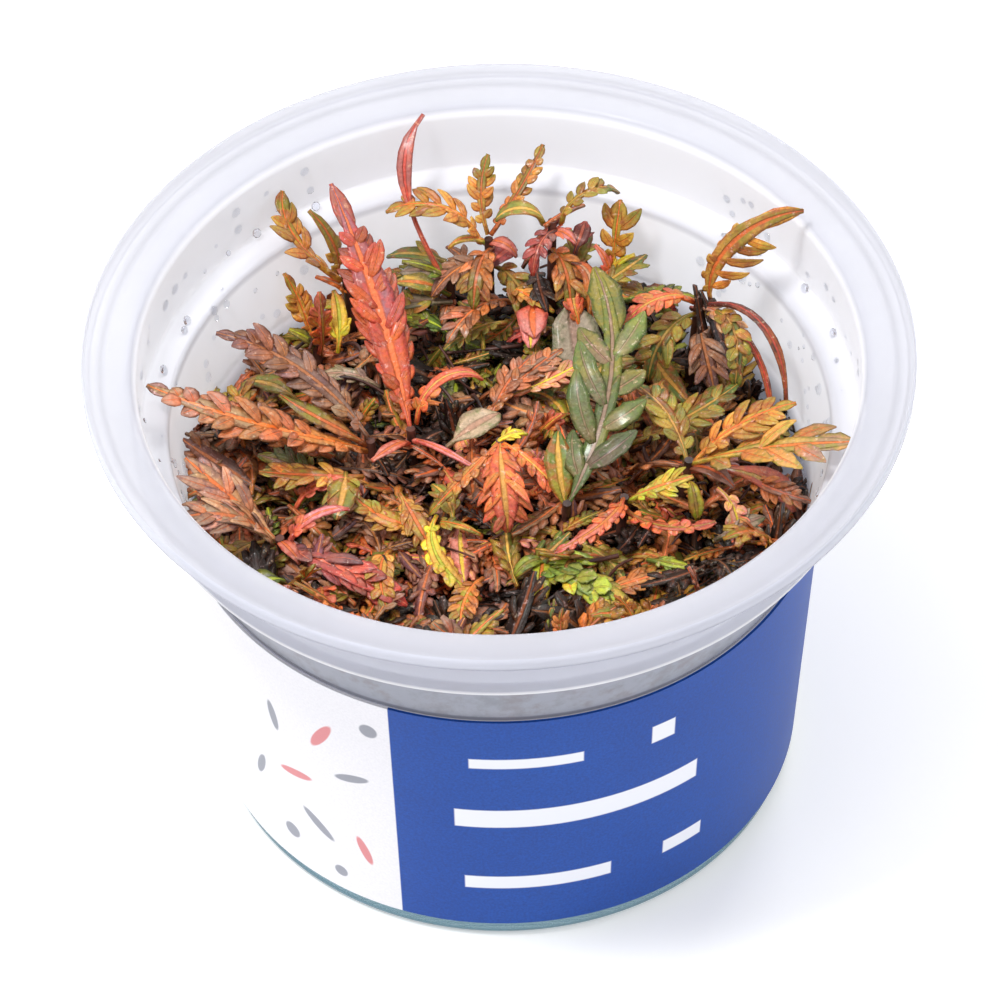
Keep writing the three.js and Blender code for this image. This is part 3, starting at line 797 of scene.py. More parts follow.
def cup_material(name, zones):
    """Frosted clear plastic: milky, faintly lilac, and sea-green at the foot where the gel tints it."""
    material, shader, place = new_material(name, Transmission_Weight=0.3, IOR=1.2, Roughness=0.26)
    cloud = noise(place, 60.0, 3.0)
    height = place.part(2) / (HEIGHT * MM)
    stops = [(z / HEIGHT, (*linear(tone), opacity)) for z, tone, opacity in zones]
    plastic = height.node("ShaderNodeValToRGB", {"Fac": height}, stops=stops)
    opacity = Wire(place.tree, plastic.socket.node.outputs["Alpha"])
    colour = (cloud * 0.12 + 0.94).times(plastic)
    plug(shader, "Base Color", colour)
    plug(shader, "Alpha", opacity)
    return material, shader, place, height, colour


def outer_cup_material():
    """The plastic seen from outside, its neck in painted shade with the leaves behind showing faintly."""
    material, shader, place, height, colour = cup_material("cup_outside", CUP_OUTSIDE)
    neck = height.between(BODY_TOP_Z / HEIGHT, (BODY_TOP_Z + 1) / HEIGHT)
    neck = neck * (1 - height.between((NECK_TOP_Z - 1) / HEIGHT, NECK_TOP_Z / HEIGHT))
    leaves = noise(place, 330.0, 5.0, roughness=0.65)
    patches = noise(place, 180.0, 2.0).between(0.4, 0.6)
    behind = patches.blend(paint((104, 84, 72)), paint((96, 104, 108)))
    plug(shader, "Base Color", (leaves.between(0.4, 0.68) * neck * 0.38).blend(colour, behind))
    return material


def inner_cup_material():
    """The plastic seen from inside, made bright by a painted glow for the light that comes through it."""
    material, shader, _, height, _ = cup_material("cup_inside", CUP_INSIDE)
    stops = [(z / HEIGHT, (share, share, share, 1)) for z, share in GLOW_SHARES]
    plug(shader, "Emission Color", height.node("ShaderNodeValToRGB", {"Fac": height}, stops=stops))
    shader.inputs["Emission Strength"].default_value = GLOW
    return material


def bar(u, v, middle, half):
    """1 inside an upright box on the label with softened edges."""
    du = u.math("ABSOLUTE", u - middle[0]) - half[0]
    dv = v.math("ABSOLUTE", v - middle[1]) - half[1]
    return 1 - largest([du, dv]).between(-0.12, 0.12)


def spot(u, v, middle, half, turn):
    """1 inside a turned ellipse on the label with softened edges."""
    c, s = math.cos(math.radians(turn)), math.sin(math.radians(turn))
    du, dv = u - middle[0], v - middle[1]
    a, b = (du * c + dv * s) / half[0], (dv * c - du * s) / half[1]
    return 1 - (a * a + b * b).between(0.75, 1.2)


def label_material():
    """Printed sleeve: a blue panel with plain pale bars and a white one with petals and dots."""
    material, shader, place = new_material("label_print", Specular_IOR_Level=0.25)
    uv = place.node("ShaderNodeUVMap", uv_map="sleeve")
    u, v = uv.part(0), uv.part(1)
    print_grain = noise(place, 3200.0, 2.0)
    sheen = noise(place, 45.0, 2.0)
    blue = sheen.blend(paint((12, 64, 150)), paint((24, 78, 166)))
    blue = (print_grain * 0.9 + 0.55).times(blue)
    bars = largest([bar(u, v, middle, half) for middle, half in LABEL_BARS])
    blue = bars.blend(blue, paint((238, 240, 248)))
    white = print_grain.blend(paint((226, 225, 232)), paint((246, 245, 250)))
    for tone, marks in LABEL_MARKS.items():
        petals = largest([spot(u, v, middle, half, turn) for middle, half, turn in marks])
        white = (petals * 0.8).blend(white, paint(tone))
    on_blue = u.between(LABEL_SEAM - 0.08, LABEL_SEAM + 0.08)
    colour = on_blue.blend(white, blue)
    plug(shader, "Base Color", colour)
    plug(shader, "Roughness", 0.42 + print_grain * 0.12)
    plug(shader, "Normal", bumped(print_grain, 0.1, 0.00005))
    return material


def clouded_material(name, scale, detail, colours, smooth, uneven, **constants):
    """A material whose colour and roughness follow one noise, and its glow too where it has one."""
    material, shader, place = new_material(name, **constants)
    cloud = noise(place, scale, detail)
    colour = cloud.blend(*colours)
    plug(shader, "Base Color", colour)
    if "Emission_Strength" in constants:
        plug(shader, "Emission Color", colour)
    plug(shader, "Roughness", smooth + cloud * uneven)
    return material


def paper_material():
    """The plain back of the sleeve, with a painted glow for the little daylight that comes through it."""
    colours = paint((240, 240, 246)), paint((250, 250, 252))
    # Painted light: a glow that stands in for daylight coming through the paper
    constants = {"Specular_IOR_Level": 0.3, "Emission_Strength": 0.4}
    return clouded_material("label_back", 1500.0, 4.0, colours, 0.6, 0.2, **constants)


def gel_material():
    """Cloudy, faintly teal jelly."""
    colours = paint((92, 134, 150)), paint((130, 164, 176))
    constants = {"Transmission_Weight": 0.45, "IOR": 1.34}
    return clouded_material("gel", 120.0, 4.0, colours, 0.15, 0.15, **constants)


def water_material():
    """Clear condensation."""
    colours = paint((228, 232, 240)), paint((250, 250, 252))
    constants = {"Transmission_Weight": 1.0, "IOR": 1.33}
    return clouded_material("water", 700.0, 3.0, colours, 0.02, 0.05, **constants)


def floor_material():
    """Plain pale studio floor, lit a little from below so that shadows on it stay faint."""
    colours = (0.93, 0.93, 0.93, 1), (0.95, 0.95, 0.95, 1)
    constants = {"Specular_IOR_Level": 0.1, "Emission_Strength": 0.3}
    return clouded_material("studio_floor", 3.0, 3.0, colours, 0.8, 0.1, **constants)


def placed(name, data):
    """A new object in the scene."""
    made = bpy.data.objects.new(name, data)
    bpy.context.scene.collection.objects.link(made)
    return made


def add_values(mesh, name, kind, values):
    """Gives a mesh's points a value each, under a name."""
    field = {"FLOAT_VECTOR": "vector", "FLOAT_COLOR": "color"}.get(kind, "value")
    mesh.attributes.new(name, kind, "POINT").data.foreach_set(field, values)


def new_mesh(name, points, faces, materials, uv=None, uv_name="blade", colours=None, material_of=None):
    """A smooth mesh object from points in mm, faces, corner UVs by vertex and vertex colours."""
    mesh = bpy.data.meshes.new(name)
    mesh.from_pydata((np.asarray(points) * MM).tolist(), [], [list(face) for face in faces])
    for material in materials:
        mesh.materials.append(material)
    corners = np.zeros(len(mesh.loops), np.int32)
    mesh.loops.foreach_get("vertex_index", corners)
    if uv is not None:
        layer = mesh.uv_layers.new(name=uv_name)
        layer.data.foreach_set("uv", np.asarray(uv, np.float32)[corners].ravel())
    for key, values in (colours or {}).items():
        filled = np.ones((len(points), 4), np.float32)
        filled[:, :3] = values
        add_values(mesh, key, "FLOAT_COLOR", filled.ravel())
    if material_of is not None:
        mesh.polygons.foreach_set("material_index", np.asarray(material_of, np.int32))
    mesh.shade_smooth()
    mesh.update()
    return placed(name, mesh)


def body_radius(z):
    """The cup's outer radius below the neck."""
    return BASE_RADIUS + (BODY_TOP_RADIUS - BASE_RADIUS) * z / BODY_TOP_Z


def softened(profile):
    """A closed profile with each corner rounded by a short curve."""
    points = [np.array(p, float) for p in profile]
    made = []
    for i, corner in enumerate(points):
        if corner[0] == 0:
            made.append(corner)
            continue
        ends = []
        for other in (points[i - 1], points[(i + 1) % len(points)]):
            way = other - corner
            length = np.linalg.norm(way)
            ends.append(corner + way / length * min(FILLET, 0.45 * length))
        for k in range(FILLET_STEPS + 1):
            t = k / FILLET_STEPS
            made.append((1 - t) ** 2 * ends[0] + 2 * t * (1 - t) * corner + t * t * ends[1])
    return np.array(made)


def turned(profile, sides):
    """Points and faces of a closed body of revolution; its profile starts and ends on the axis."""
    angles = np.linspace(0, 2 * math.pi, sides, endpoint=False)
    rings = profile[1:-1]
    points = [(0, 0, profile[0][1])]
    for radius, z in rings:
        points += [(radius * math.cos(a), radius * math.sin(a), z) for a in angles]
    points.append((0, 0, profile[-1][1]))
    last = 1 + (len(rings) - 1) * sides
    faces = []
    for side in range(sides):
        ahead = (side + 1) % sides
        faces.append((0, 1 + ahead, 1 + side))
        for first in range(1, last, sides):
            faces.append((first + side, first + ahead, first + sides + ahead, first + sides + side))
        faces.append((last + side, last + ahead, len(points) - 1))
    return points, faces


def make_cup(outside, inside):
    """The cup, from its foot ring up to the collar and the wide flange with its turned-down lip."""
    top = HEIGHT - FLANGE_DROP
    outer = [
        (0, BASE_RECESS),
        (FOOT_RING_INNER_RADIUS - 0.6, BASE_RECESS),
        (FOOT_RING_INNER_RADIUS, 0),
        (BASE_RADIUS - 0.4, 0),
        (body_radius(0.8), 0.8),
        (BODY_TOP_RADIUS, BODY_TOP_Z),
        (NECK_TOP_RADIUS, NECK_TOP_Z),
        (COLLAR_RADIUS, SHOULDER_Z),
        (COLLAR_RADIUS, top - WALL - 0.4),
        (RIM_RADIUS - WALL, HEIGHT - WALL - 0.3),
        (RIM_RADIUS - 0.9 * WALL, HEIGHT - LIP_DEPTH),
        (RIM_RADIUS, HEIGHT - LIP_DEPTH),
        (RIM_RADIUS, HEIGHT - 0.2),
    ]
    inner = [
        (RIM_RADIUS - 0.4, HEIGHT),
        (FLANGE_INNER_RADIUS, top),
        (COLLAR_RADIUS - WALL, top - 1),
        (COLLAR_RADIUS - WALL, SHOULDER_Z + WALL),
        (NECK_TOP_RADIUS - 0.9 * WALL, NECK_TOP_Z + WALL),
        (BODY_TOP_RADIUS - WALL, BODY_TOP_Z),
        (body_radius(FLOOR_Z) - WALL, FLOOR_Z),
        (0, FLOOR_Z),
    ]
    profile = softened(outer + inner)
    points, faces = turned(profile, CUP_SIDES)
    outer_count = len(softened(outer))
    kinds = ([0] * outer_count + [1] * (len(profile) - 1 - outer_count)) * CUP_SIDES
    cup = new_mesh("cup_shell", points, faces, [outside, inside], material_of=kinds)
    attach(cup, "root")
    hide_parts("cup")


def make_label(outside, inside):
    """The sleeve, open in a narrow strip at the back, with its print outside and plain paper inside."""
    low, high = LABEL_BOTTOM_Z, BODY_TOP_Z
    ring = [(0, low), (LABEL_THICKNESS, low), (LABEL_THICKNESS, high), (0, high)]
    gap = math.radians(LABEL_OPENING / 2)
    angles = np.linspace(math.pi / 2 + gap, math.pi / 2 - gap + 2 * math.pi, LABEL_SIDES + 1)
    points, uv, faces, kinds = [], [], [], []
    for angle in angles:
        for out, z in ring:
            radius = body_radius(z) + LABEL_GAP + out
            points.append((radius * math.cos(angle), radius * math.sin(angle), z))
            from_front = math.degrees(angle) - 270
            uv.append((math.radians(from_front) * BODY_TOP_RADIUS, z))
    for step in range(LABEL_SIDES):
        for i in range(4):
            a, b = 4 * step + i, 4 * step + (i + 1) % 4
            faces.append((a, a + 4, b + 4, b))
            kinds.append(0 if i in (1, 2) else 1)
    last = 4 * LABEL_SIDES
    faces += [(0, 1, 2, 3), (last + 3, last + 2, last + 1, last)]
    kinds += [1, 1]
    label = new_mesh("label_sleeve", points, faces, [outside, inside], uv, "sleeve", material_of=kinds)
    label.data.set_sharp_from_angle(angle=math.radians(40))
    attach(label, "root")
    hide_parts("label")


def make_gel(material):
    """The gel as it set in the cup, with a slight meniscus."""
    gap = WALL + CLEARANCE
    profile = [
        (0, FLOOR_Z + CLEARANCE),
        (body_radius(FLOOR_Z) - gap, FLOOR_Z + CLEARANCE),
        (body_radius(GEL_TOP_Z) - gap, GEL_TOP_Z + MENISCUS_RISE),
        (body_radius(GEL_TOP_Z) - gap - MENISCUS_WIDTH, GEL_TOP_Z),
        (0, GEL_TOP_Z),
    ]
    points, faces = turned(softened(profile), GEL_SIDES)
    gel = new_mesh("gel_block", points, faces, [material])
    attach(gel, "root")
    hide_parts("nutrient_gel")


def kept_inside(points):
    """Points drawn in towards the axis where they would touch the cup's wall."""
    gap = WALL + CLEARANCE
    levels = (FLOOR_Z, BODY_TOP_Z, NECK_TOP_Z + gap, SHOULDER_Z + gap, HEIGHT)
    radii = (body_radius(FLOOR_Z), BODY_TOP_RADIUS, NECK_TOP_RADIUS, COLLAR_RADIUS, COLLAR_RADIUS)
    limit = np.interp(points[:, 2], levels, np.array(radii) - gap)
    radius = np.hypot(points[:, 0], points[:, 1])
    scale = np.minimum(1, limit / np.maximum(radius, 1e-6))
    points = points.copy()
    points[:, :2] *= scale[:, None]
    return points


def leaf_frame(leaf, share):
    """A leaf's direction, right-hand side and upper face at shares of its length."""
    turn = np.radians(leaf["turn"][0] + leaf["turn"][1] * share)
    rise = np.radians(leaf["rise"][0] + leaf["rise"][1] * share)
    along = np.stack([np.cos(turn) * np.cos(rise), np.sin(turn) * np.cos(rise), np.sin(rise)], 1)
    side = np.stack([np.sin(turn), -np.cos(turn), 0 * turn], 1)
    roll = -math.radians(leaf.get("roll", 0))
    side = side * math.cos(roll) + np.cross(along, side) * math.sin(roll)
    return along, side, np.cross(side, along)


def half_width(leaf, share):
    """How far a leaf's lobes reach to each side at a share of its length."""
    power = math.log(0.5) / math.log(leaf.get("peak", 0.5))
    inside = np.clip(share, 0, 1)
    return leaf["size"][1] / 2 * np.sin(np.pi * inside**power) ** leaf.get("taper", 0.7)


def walked(start, ways, places, length):
    """Points of a path that sets out from a start and follows its ways."""
    hops = (ways[1:] + ways[:-1]) / 2 * np.diff(places)[:, None] * length
    return start + np.concatenate([np.zeros((1, 3)), np.cumsum(hops, 0)])


def paddle(spine, side, face, width, columns, cup, thickness):
    """A closed thin blade about a spine: points, faces, and each point's place across and along it."""
    count, wide = len(spine), len(columns)
    top, bottom = [], []
    for u in columns:
        sheet = spine + side * (width * u)[:, None] + face * (cup * width * u * u)[:, None]
        deep = thickness * max(1 - u * u, 0.05)
        top.append(sheet + face * (0.3 * deep)[:, None])
        bottom.append(sheet - face * (0.7 * deep)[:, None])
    points = np.concatenate(top + bottom[1:-1])
    rows = [[c * count + s for s in range(count)] for c in range(2 * wide - 2)]
    upper = rows[:wide]
    lower = [upper[0], *rows[wide:], upper[-1]]
    faces = []
    for c in range(wide - 1):
        for s in range(count - 1):
            faces.append((upper[c][s], upper[c + 1][s], upper[c + 1][s + 1], upper[c][s + 1]))
            faces.append((lower[c][s], lower[c][s + 1], lower[c + 1][s + 1], lower[c + 1][s]))
    for s, order in ((0, 1), (count - 1, -1)):
        ring = [upper[c][s] for c in range(wide)] + [lower[c][s] for c in range(wide - 2, 0, -1)]
        faces.append(tuple(ring[::-order]))
    across = np.repeat(list(columns) + list(columns[1:-1]), count)
    along = np.tile(np.linspace(0, 1, count), 2 * wide - 2)
    return points, faces, across, along


def lobe_outline(place, blunt):
    """A lobe's half width along its length, as a share of the widest; its tip is round."""
    oval = np.sin(np.pi * place**0.85) ** 0.7 * (0.7 + 0.3 * place)
    teeth = 1 + 0.1 * np.cos(6 * np.pi * place) * (len(place) > 8)
    return np.maximum(oval * teeth, np.where(place > 0.5, blunt, 0.2))


def lobe(leaf, root, axes, way, reach, pitch, columns, place, rng):
    """One lobe: it leaves the midrib at a slant, bends forward and droops a little."""
    along, side, face = axes
    slant = leaf.get("slant", 50) + rng.uniform(-8, 8)
    turn = np.radians(slant + 6 - 26 * place)
    lift = np.radians(LOBE_LIFT + rng.uniform(-12, 12) - 30 * place)
    flat = along * np.cos(turn)[:, None] + way * side * np.sin(turn)[:, None]
    ways = flat * np.cos(lift)[:, None] + face * np.sin(lift)[:, None]
    spine = walked(root, ways, place, reach / math.sin(math.radians(slant - 5)))
    across = np.cross(ways, face)
    across /= np.linalg.norm(across, axis=1)[:, None]
    width = pitch * leaf.get("broad", 0.52) * lobe_outline(place, 0.4 if len(place) < 5 else 0.1)
    thickness = LEAF_THICKNESS * (1.3 - 0.5 * place)
    cup = rng.uniform(-0.1, 0.35)
    return paddle(spine, across, np.cross(across, ways), width, columns, cup, thickness)


def leaf_parts(leaf, start, columns, steps, rng):
    """A leaf's paddles, each with its share of the leaf's length and 1 for a lobe, else 0."""
    length, lobes = leaf["size"][0], leaf["lobes"]
    share = np.concatenate([[-LEAF_START / length], np.linspace(0, 1, 2 * steps + 1)])
    along, side, face = leaf_frame(leaf, share)
    middle = walked(start, along, share, length)
    middle -= middle[1] - start
    web = half_width(leaf, share) * (1 if lobes == 1 else NOTCH_SHARE * leaf["cut"])
    web = np.maximum(web * (1 + 0.06 * np.cos(5 * np.pi * share + rng.uniform(0, 6))), 0.3)
    thickness = LEAF_THICKNESS + RIB_THICKNESS * (1 - 0.6 * np.clip(share, 0, 1))
    yield paddle(middle, side, face, web, columns, 0.25, thickness), 0, 0
    if lobes == 1:
        return
    end = leaf.get("end", 1.3 / lobes)
    pitch = length * (1 - end) / lobes
    steps += 5 if steps > 3 and pitch > 2.4 else 0
    place = 1 - (1 - np.linspace(0, 1, steps)) ** 1.5
    for i in range(lobes):
        for way in (-1, 1):
            at = (1 - end) * (i + 0.35 + 0.3 * (way > 0) + rng.uniform(-0.1, 0.1)) / lobes
            axes = [axis[0] for axis in leaf_frame(leaf, np.array([at]))]
            root = np.array([np.interp(at, share, middle[:, k]) for k in range(3)])
            reach = half_width(leaf, np.array([at + 0.4 / lobes]))[0] * rng.uniform(0.85, 1.1)
            reach *= leaf.get("left", 1) if way < 0 else 1
            if reach > 0.6:
                yield lobe(leaf, root, axes, way, reach, pitch, columns, place, rng), at, 1
    last = 1 - end + end * place
    points = np.stack([np.interp(last, share, middle[:, k]) for k in range(3)], 1)
    along, side, face = leaf_frame(leaf, last)
    wide = leaf.get("end_broad", 0.6) * max(half_width(leaf, np.array([1 - 0.6 * end]))[0], pitch)
    wide = wide * lobe_outline(place, 0.1)
    yield paddle(points, side, face, wide, columns, 0.2, LEAF_THICKNESS * np.ones(steps)), 1 - end, 0


def leaf_shape(leaf, start, columns, steps, seed):
    """A leaf's mesh. Its points know their share of the leaf's length, 1 in a lobe, and a hue."""
    rng = np.random.default_rng(seed)
    parts = []
    for (points, faces, across, along), at, kind in leaf_parts(leaf, start, columns, steps, rng):
        share = np.full(len(points), at) if at else along
        uv = np.stack([(across + 1) / 2, along], 1)
        share = np.clip(share + rng.uniform(-0.1, 0.1), 0, 1)
        place = np.stack([share, np.full(len(points), kind), across * 0], 1)
        hue = rng.uniform(0.68, 1.25) * rng.uniform((0.9, 0.9, 0.8), (1.1, 1.1, 1.25))
        parts.append((points, faces, uv, {"place": place, "hue": np.tile(hue, (len(points), 1))}))
    return merged(parts)


def leaf_start(leaf, crown, distance):
    """Where a leaf starts: out from the stem in its own direction."""
    turn = math.radians(leaf["turn"][0])
    x, y, z = crown
    out = distance * np.array([math.cos(turn), math.sin(turn), 0.2])
    return np.array([x, y, z - leaf.get("drop", 0)], float) + out


def merged(parts):
    """Several sets of points, faces, UVs and colours as one."""
    points, faces, uv, colours, offset = [], [], [], {}, 0
    for part_points, part_faces, part_uv, part_colours in parts:
        points.append(part_points)
        faces += [tuple(i + offset for i in face) for face in part_faces]
        uv.append(part_uv)
        for key, values in part_colours.items():
            colours.setdefault(key, []).append(values)
        offset += len(part_points)
    joined = {key: np.concatenate(values) for key, values in colours.items()}
    return np.concatenate(points), faces, np.concatenate(uv), joined


def dressed_blade(leaf, start, columns, steps, seed):
    """A leaf with its tones, held inside the cup."""
    points, faces, uv, colours = leaf_shape(leaf, start, columns, steps, seed)
    tones = LEAF_TONES[leaf.get("look", leaf["tint"])]
    for key, tone in zip(("tint", "tip", "rib", "blotch"), tones):
        colours[key] = np.tile(linear(TONES[tone]), (len(points), 1))
    return kept_inside(points), faces, uv, colours


def make_leaves(material):
    """Every large leaf as a piece of its own."""
    for number, shoot in enumerate(SHOOTS):
        for i, leaf in enumerate(shoot["leaves"]):
            name = f"{shoot['name']}_{i + 1}"
            start = leaf_start(leaf, shoot["crown"], LEAF_START)
            seed = SEED + 100 * number + i
            points, faces, uv, colours = dressed_blade(leaf, start, FINE_COLUMNS, 6, seed)
            piece = new_mesh(f"blade_{name}", points, faces, [material], uv, colours=colours)
            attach(piece, "root")
            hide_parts(f"leaf_{name}")


def stem_path(crown):
    """The points of a stem's middle line, from its root in the gel to its crown."""
    top = np.array(crown, float)
    root = np.array([top[0] * STEM_LEAN, top[1] * STEM_LEAN, GEL_TOP_Z - ROOT_DEPTH])
    shares = np.linspace(0, 1, 19)[:, None]
    sway = 0.35 * np.sin(9 * shares + top[0]) * np.array([[1, 0.6, 0]]) * (1 - shares)
    return root * (1 - shares) + top * shares + sway


def geometry_tree(name, inputs):
    """A node group for a Geometry Nodes modifier, its named inputs, and wires from them."""
    tree = bpy.data.node_groups.new(name, "GeometryNodeTree")
    tree.interface.new_socket("Geometry", in_out="INPUT", socket_type="NodeSocketGeometry")
    tree.interface.new_socket("Geometry", in_out="OUTPUT", socket_type="NodeSocketGeometry")
    for label, (kind, value) in inputs.items():
        socket = tree.interface.new_socket(label, in_out="INPUT", socket_type=kind)
        if value is not None:
            socket.default_value = value
    group = tree.nodes.new("NodeGroupInput")
    wires = {socket.name: Wire(tree, socket) for socket in group.outputs if socket.name}
    return tree, wires


def end_tree(wire, material):
    """Makes the instances real, gives them the material and joins them to the group's output."""
    real = wire.node("GeometryNodeRealizeInstances", {"Geometry": wire})
    done = real.node("GeometryNodeSetMaterial", {"Geometry": real, "Material": material})
    output = wire.tree.nodes.new("NodeGroupOutput")
    wire.tree.links.new(done.socket, output.inputs[0])


def set_input(modifier, label, value):
    """Sets a modifier's input, found by its name, by its identifier."""
    for item in modifier.node_group.interface.items_tree:
        if item.item_type == "SOCKET" and item.in_out == "INPUT" and item.name == label:
            modifier[item.identifier] = value


def grown(source, tree, name, **values):
    """The mesh that a Geometry Nodes tree makes of an object, as a plain object; the source goes."""
    modifier = source.modifiers.new("grow", "NODES")
    modifier.node_group = tree
    for label, value in values.items():
        set_input(modifier, label.replace("_", " "), value)
    bpy.context.view_layer.update()
    evaluated = source.evaluated_get(bpy.context.evaluated_depsgraph_get())
    mesh = bpy.data.meshes.new_from_object(evaluated)
    mesh.name = name
    mesh.shade_smooth()
    old = source.data
    bpy.data.objects.remove(source)
    bpy.data.meshes.remove(old)
    return placed(name, mesh)


def stem_tree():
    """A round stalk along a line of edges, as thick as the line's points say."""
    tree, wires = geometry_tree(
        "stalk",
        {
            "Thickness": ("NodeSocketFloat", 1.0),
            "Sides": ("NodeSocketInt", 8),
            "Material": ("NodeSocketMaterial", None),
        },
    )
    kind = "GeometryNodeInputNamedAttribute"
    thickness = wires["Geometry"].node(kind, {"Name": "thickness"}, data_type="FLOAT")
    curve = thickness.node("GeometryNodeMeshToCurve", {"Mesh": wires["Geometry"]})
    radius = thickness * wires["Thickness"]
    ring = curve.node("GeometryNodeCurvePrimitiveCircle", {"Resolution": wires["Sides"], "Radius": 1.0})
    inputs = {"Curve": curve, "Profile Curve": ring, "Scale": radius, "Fill Caps": True}
    end_tree(curve.node("GeometryNodeCurveToMesh", inputs), wires["Material"])
    return tree


def line_object(name, lines):
    """An object of separate lines of edges; each line has points in mm and a thickness in mm at each."""
    points, edges, thickness = [], [], []
    for line, widths in lines:
        first = len(points)
        points += [tuple(p) for p in np.asarray(line) * MM]
        edges += [(first + i, first + i + 1) for i in range(len(line) - 1)]
        thickness += [w * MM for w in widths]
    mesh = bpy.data.meshes.new(name)
    mesh.from_pydata(points, edges, [])
    add_values(mesh, "thickness", "FLOAT", thickness)
    return placed(name, mesh)


def stalk_widths(count, radius):
    """A stalk's radius along its length: tapering, with a swollen joint every few points."""
    return [radius * (1.1 - 0.35 * i / count) * (1.25 if i % 5 == 4 else 1) for i in range(count)]


def make_stems(tree, stem, leaf):
    """Each shoot's stem, with its small leaves."""
    for number, shoot in enumerate(SHOOTS):
        name = shoot["name"]
        path = stem_path(shoot["crown"])
        source = line_object("stem_line", [(path, stalk_widths(len(path), STEM_RADIUS))])
        stalk = grown(source, tree, f"stalk_{name}", Material=stem)
        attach(stalk, "root")
        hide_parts(f"stem_{name}")
        parts = []
        for i, sprig in enumerate(shoot["sprigs"]):
            start = leaf_start(sprig, shoot["crown"], 0)
            parts.append(dressed_blade(sprig, start, FINE_COLUMNS, 5, SEED + 50 * number + i))
        if parts:
            points, faces, uv, colours = merged(parts)
            sprigs = new_mesh(f"sprigs_{name}", points, faces, [leaf], uv, colours=colours)
            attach(sprigs, "root")


def make_fronds(material):
    """The bed's distinct leaves as one piece."""
    parts = []
    for i, (place, frond) in enumerate(FRONDS):
        parts.append(dressed_blade(frond, np.array(place, float), FINE_COLUMNS, 6, SEED + 1000 + i))
    points, faces, uv, colours = merged(parts)
    fronds = new_mesh("bed_fronds", points, faces, [material], uv, colours=colours)
    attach(fronds, "root")
    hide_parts("undergrowth")


def bed_height(x, y):
    """The height of the bed: lower in the hollows and banked up at the front wall."""
    sunk = (depth * max(0, 1 - (math.hypot(x - hx, y - hy) / r) ** 2) for hx, hy, r, depth in HOLLOWS)
    outer = min(max((math.hypot(x, y) - BANK_RADIUS) / BANK_WIDTH, 0), 1)
    front = min(max(-y / BANK_DEPTH, 0), 1)
    return BED_Z - max(sunk, default=0) + FRONT_BANK * outer * front


def small_leaf_shapes(material):
    """A set of small leaves along +X that the bed is made of, in a collection of their own."""
    rng = random.Random(SEED)
    shapes = bpy.data.collections.new("small_leaf_shapes")
    bpy.context.scene.collection.children.link(shapes)
    for i in range(LEAF_SHAPES):
        leaf = dict(
            turn=(0, rng.uniform(-50, 50)),
            rise=(rng.uniform(0, 25), rng.uniform(-95, 20)),
            size=(SHAPE_LENGTH, rng.uniform(3.4, 5)),
            lobes=rng.choice((3, 3, 4, 5, 5, 6)),
            cut=rng.uniform(0.35, 0.7),
            peak=rng.uniform(0.42, 0.62),
            slant=rng.uniform(38, 58),
            broad=rng.uniform(0.48, 0.62),
        )
        points, faces, uv, colours = leaf_shape(leaf, np.zeros(3), PLAIN_COLUMNS, 3, i)
        shape = new_mesh(f"small_leaf_{i:02d}", points, faces, [material], uv, colours=colours)
        bpy.context.scene.collection.objects.unlink(shape)
        shapes.objects.link(shape)
    return shapes


def bed_tree():
    """A small leaf on every point, picked, turned and sized by the point's own values."""
    tree, wires = geometry_tree(
        "bed_of_leaves",
        {
            "Shapes": ("NodeSocketCollection", None),
            "Leaf size": ("NodeSocketFloat", 1.0),
            "Material": ("NodeSocketMaterial", None),
        },
    )
    start = wires["Geometry"]
    named = {}
    for key, kind in (("kind", "INT"), ("facing", "FLOAT_VECTOR"), ("length", "FLOAT")):
        named[key] = start.node("GeometryNodeInputNamedAttribute", {"Name": key}, data_type=kind)
    shapes = start.node(
        "GeometryNodeCollectionInfo",
        {"Collection": wires["Shapes"], "Separate Children": True, "Reset Children": True},
    )
    leaves = start.node(
        "GeometryNodeInstanceOnPoints",
        {
            "Points": start,
            "Instance": shapes,
            "Pick Instance": True,
            "Instance Index": named["kind"],
            "Rotation": named["facing"],
            "Scale": named["length"] * wires["Leaf size"],
        },
    )
    end_tree(leaves, wires["Material"])
    return tree


def zone_tones(x, y, rng):
    """A leaf's look for a place in the bed, after the nearest zone."""
    nearest = min(BED_ZONES, key=lambda zone: math.hypot(x - zone[0], y - zone[1]) + rng.uniform(0, 7))
    return rng.choice(nearest[2])


def bed_crowns(rng):
    """Places of the small shoots: a jittered grid of triangles over the cup."""
    crowns = []
    rows = int((BED_RADIUS + BED_JITTER) / BED_SPACING / BED_ROW_SHARE) + 1
    for row in range(-rows, rows + 1):
        for column in range(-rows, rows + 1):
            x = (column + (row % 2) / 2) * BED_SPACING + rng.uniform(-BED_JITTER, BED_JITTER)
            y = row * BED_SPACING * BED_ROW_SHARE + rng.uniform(-BED_JITTER, BED_JITTER)
            if math.hypot(x, y) < BED_RADIUS:
                crowns.append((x, y))
    return crowns


def overhead_points():
    """Points along every large leaf, which the bed's leaves keep below."""
    share = np.linspace(0, 1, 12)
    points = []
    for shoot in SHOOTS:
        for leaf in shoot["leaves"] + shoot["sprigs"]:
            along = leaf_frame(leaf, share)[0]
            start = leaf_start(leaf, shoot["crown"], LEAF_START)
            points.append(walked(start, along, share, leaf["size"][0]))
    for place, frond in FRONDS:
        along = leaf_frame(frond, share)[0]
        points.append(walked(np.array(place, float), along, share, frond["size"][0]))
    return np.concatenate(points)


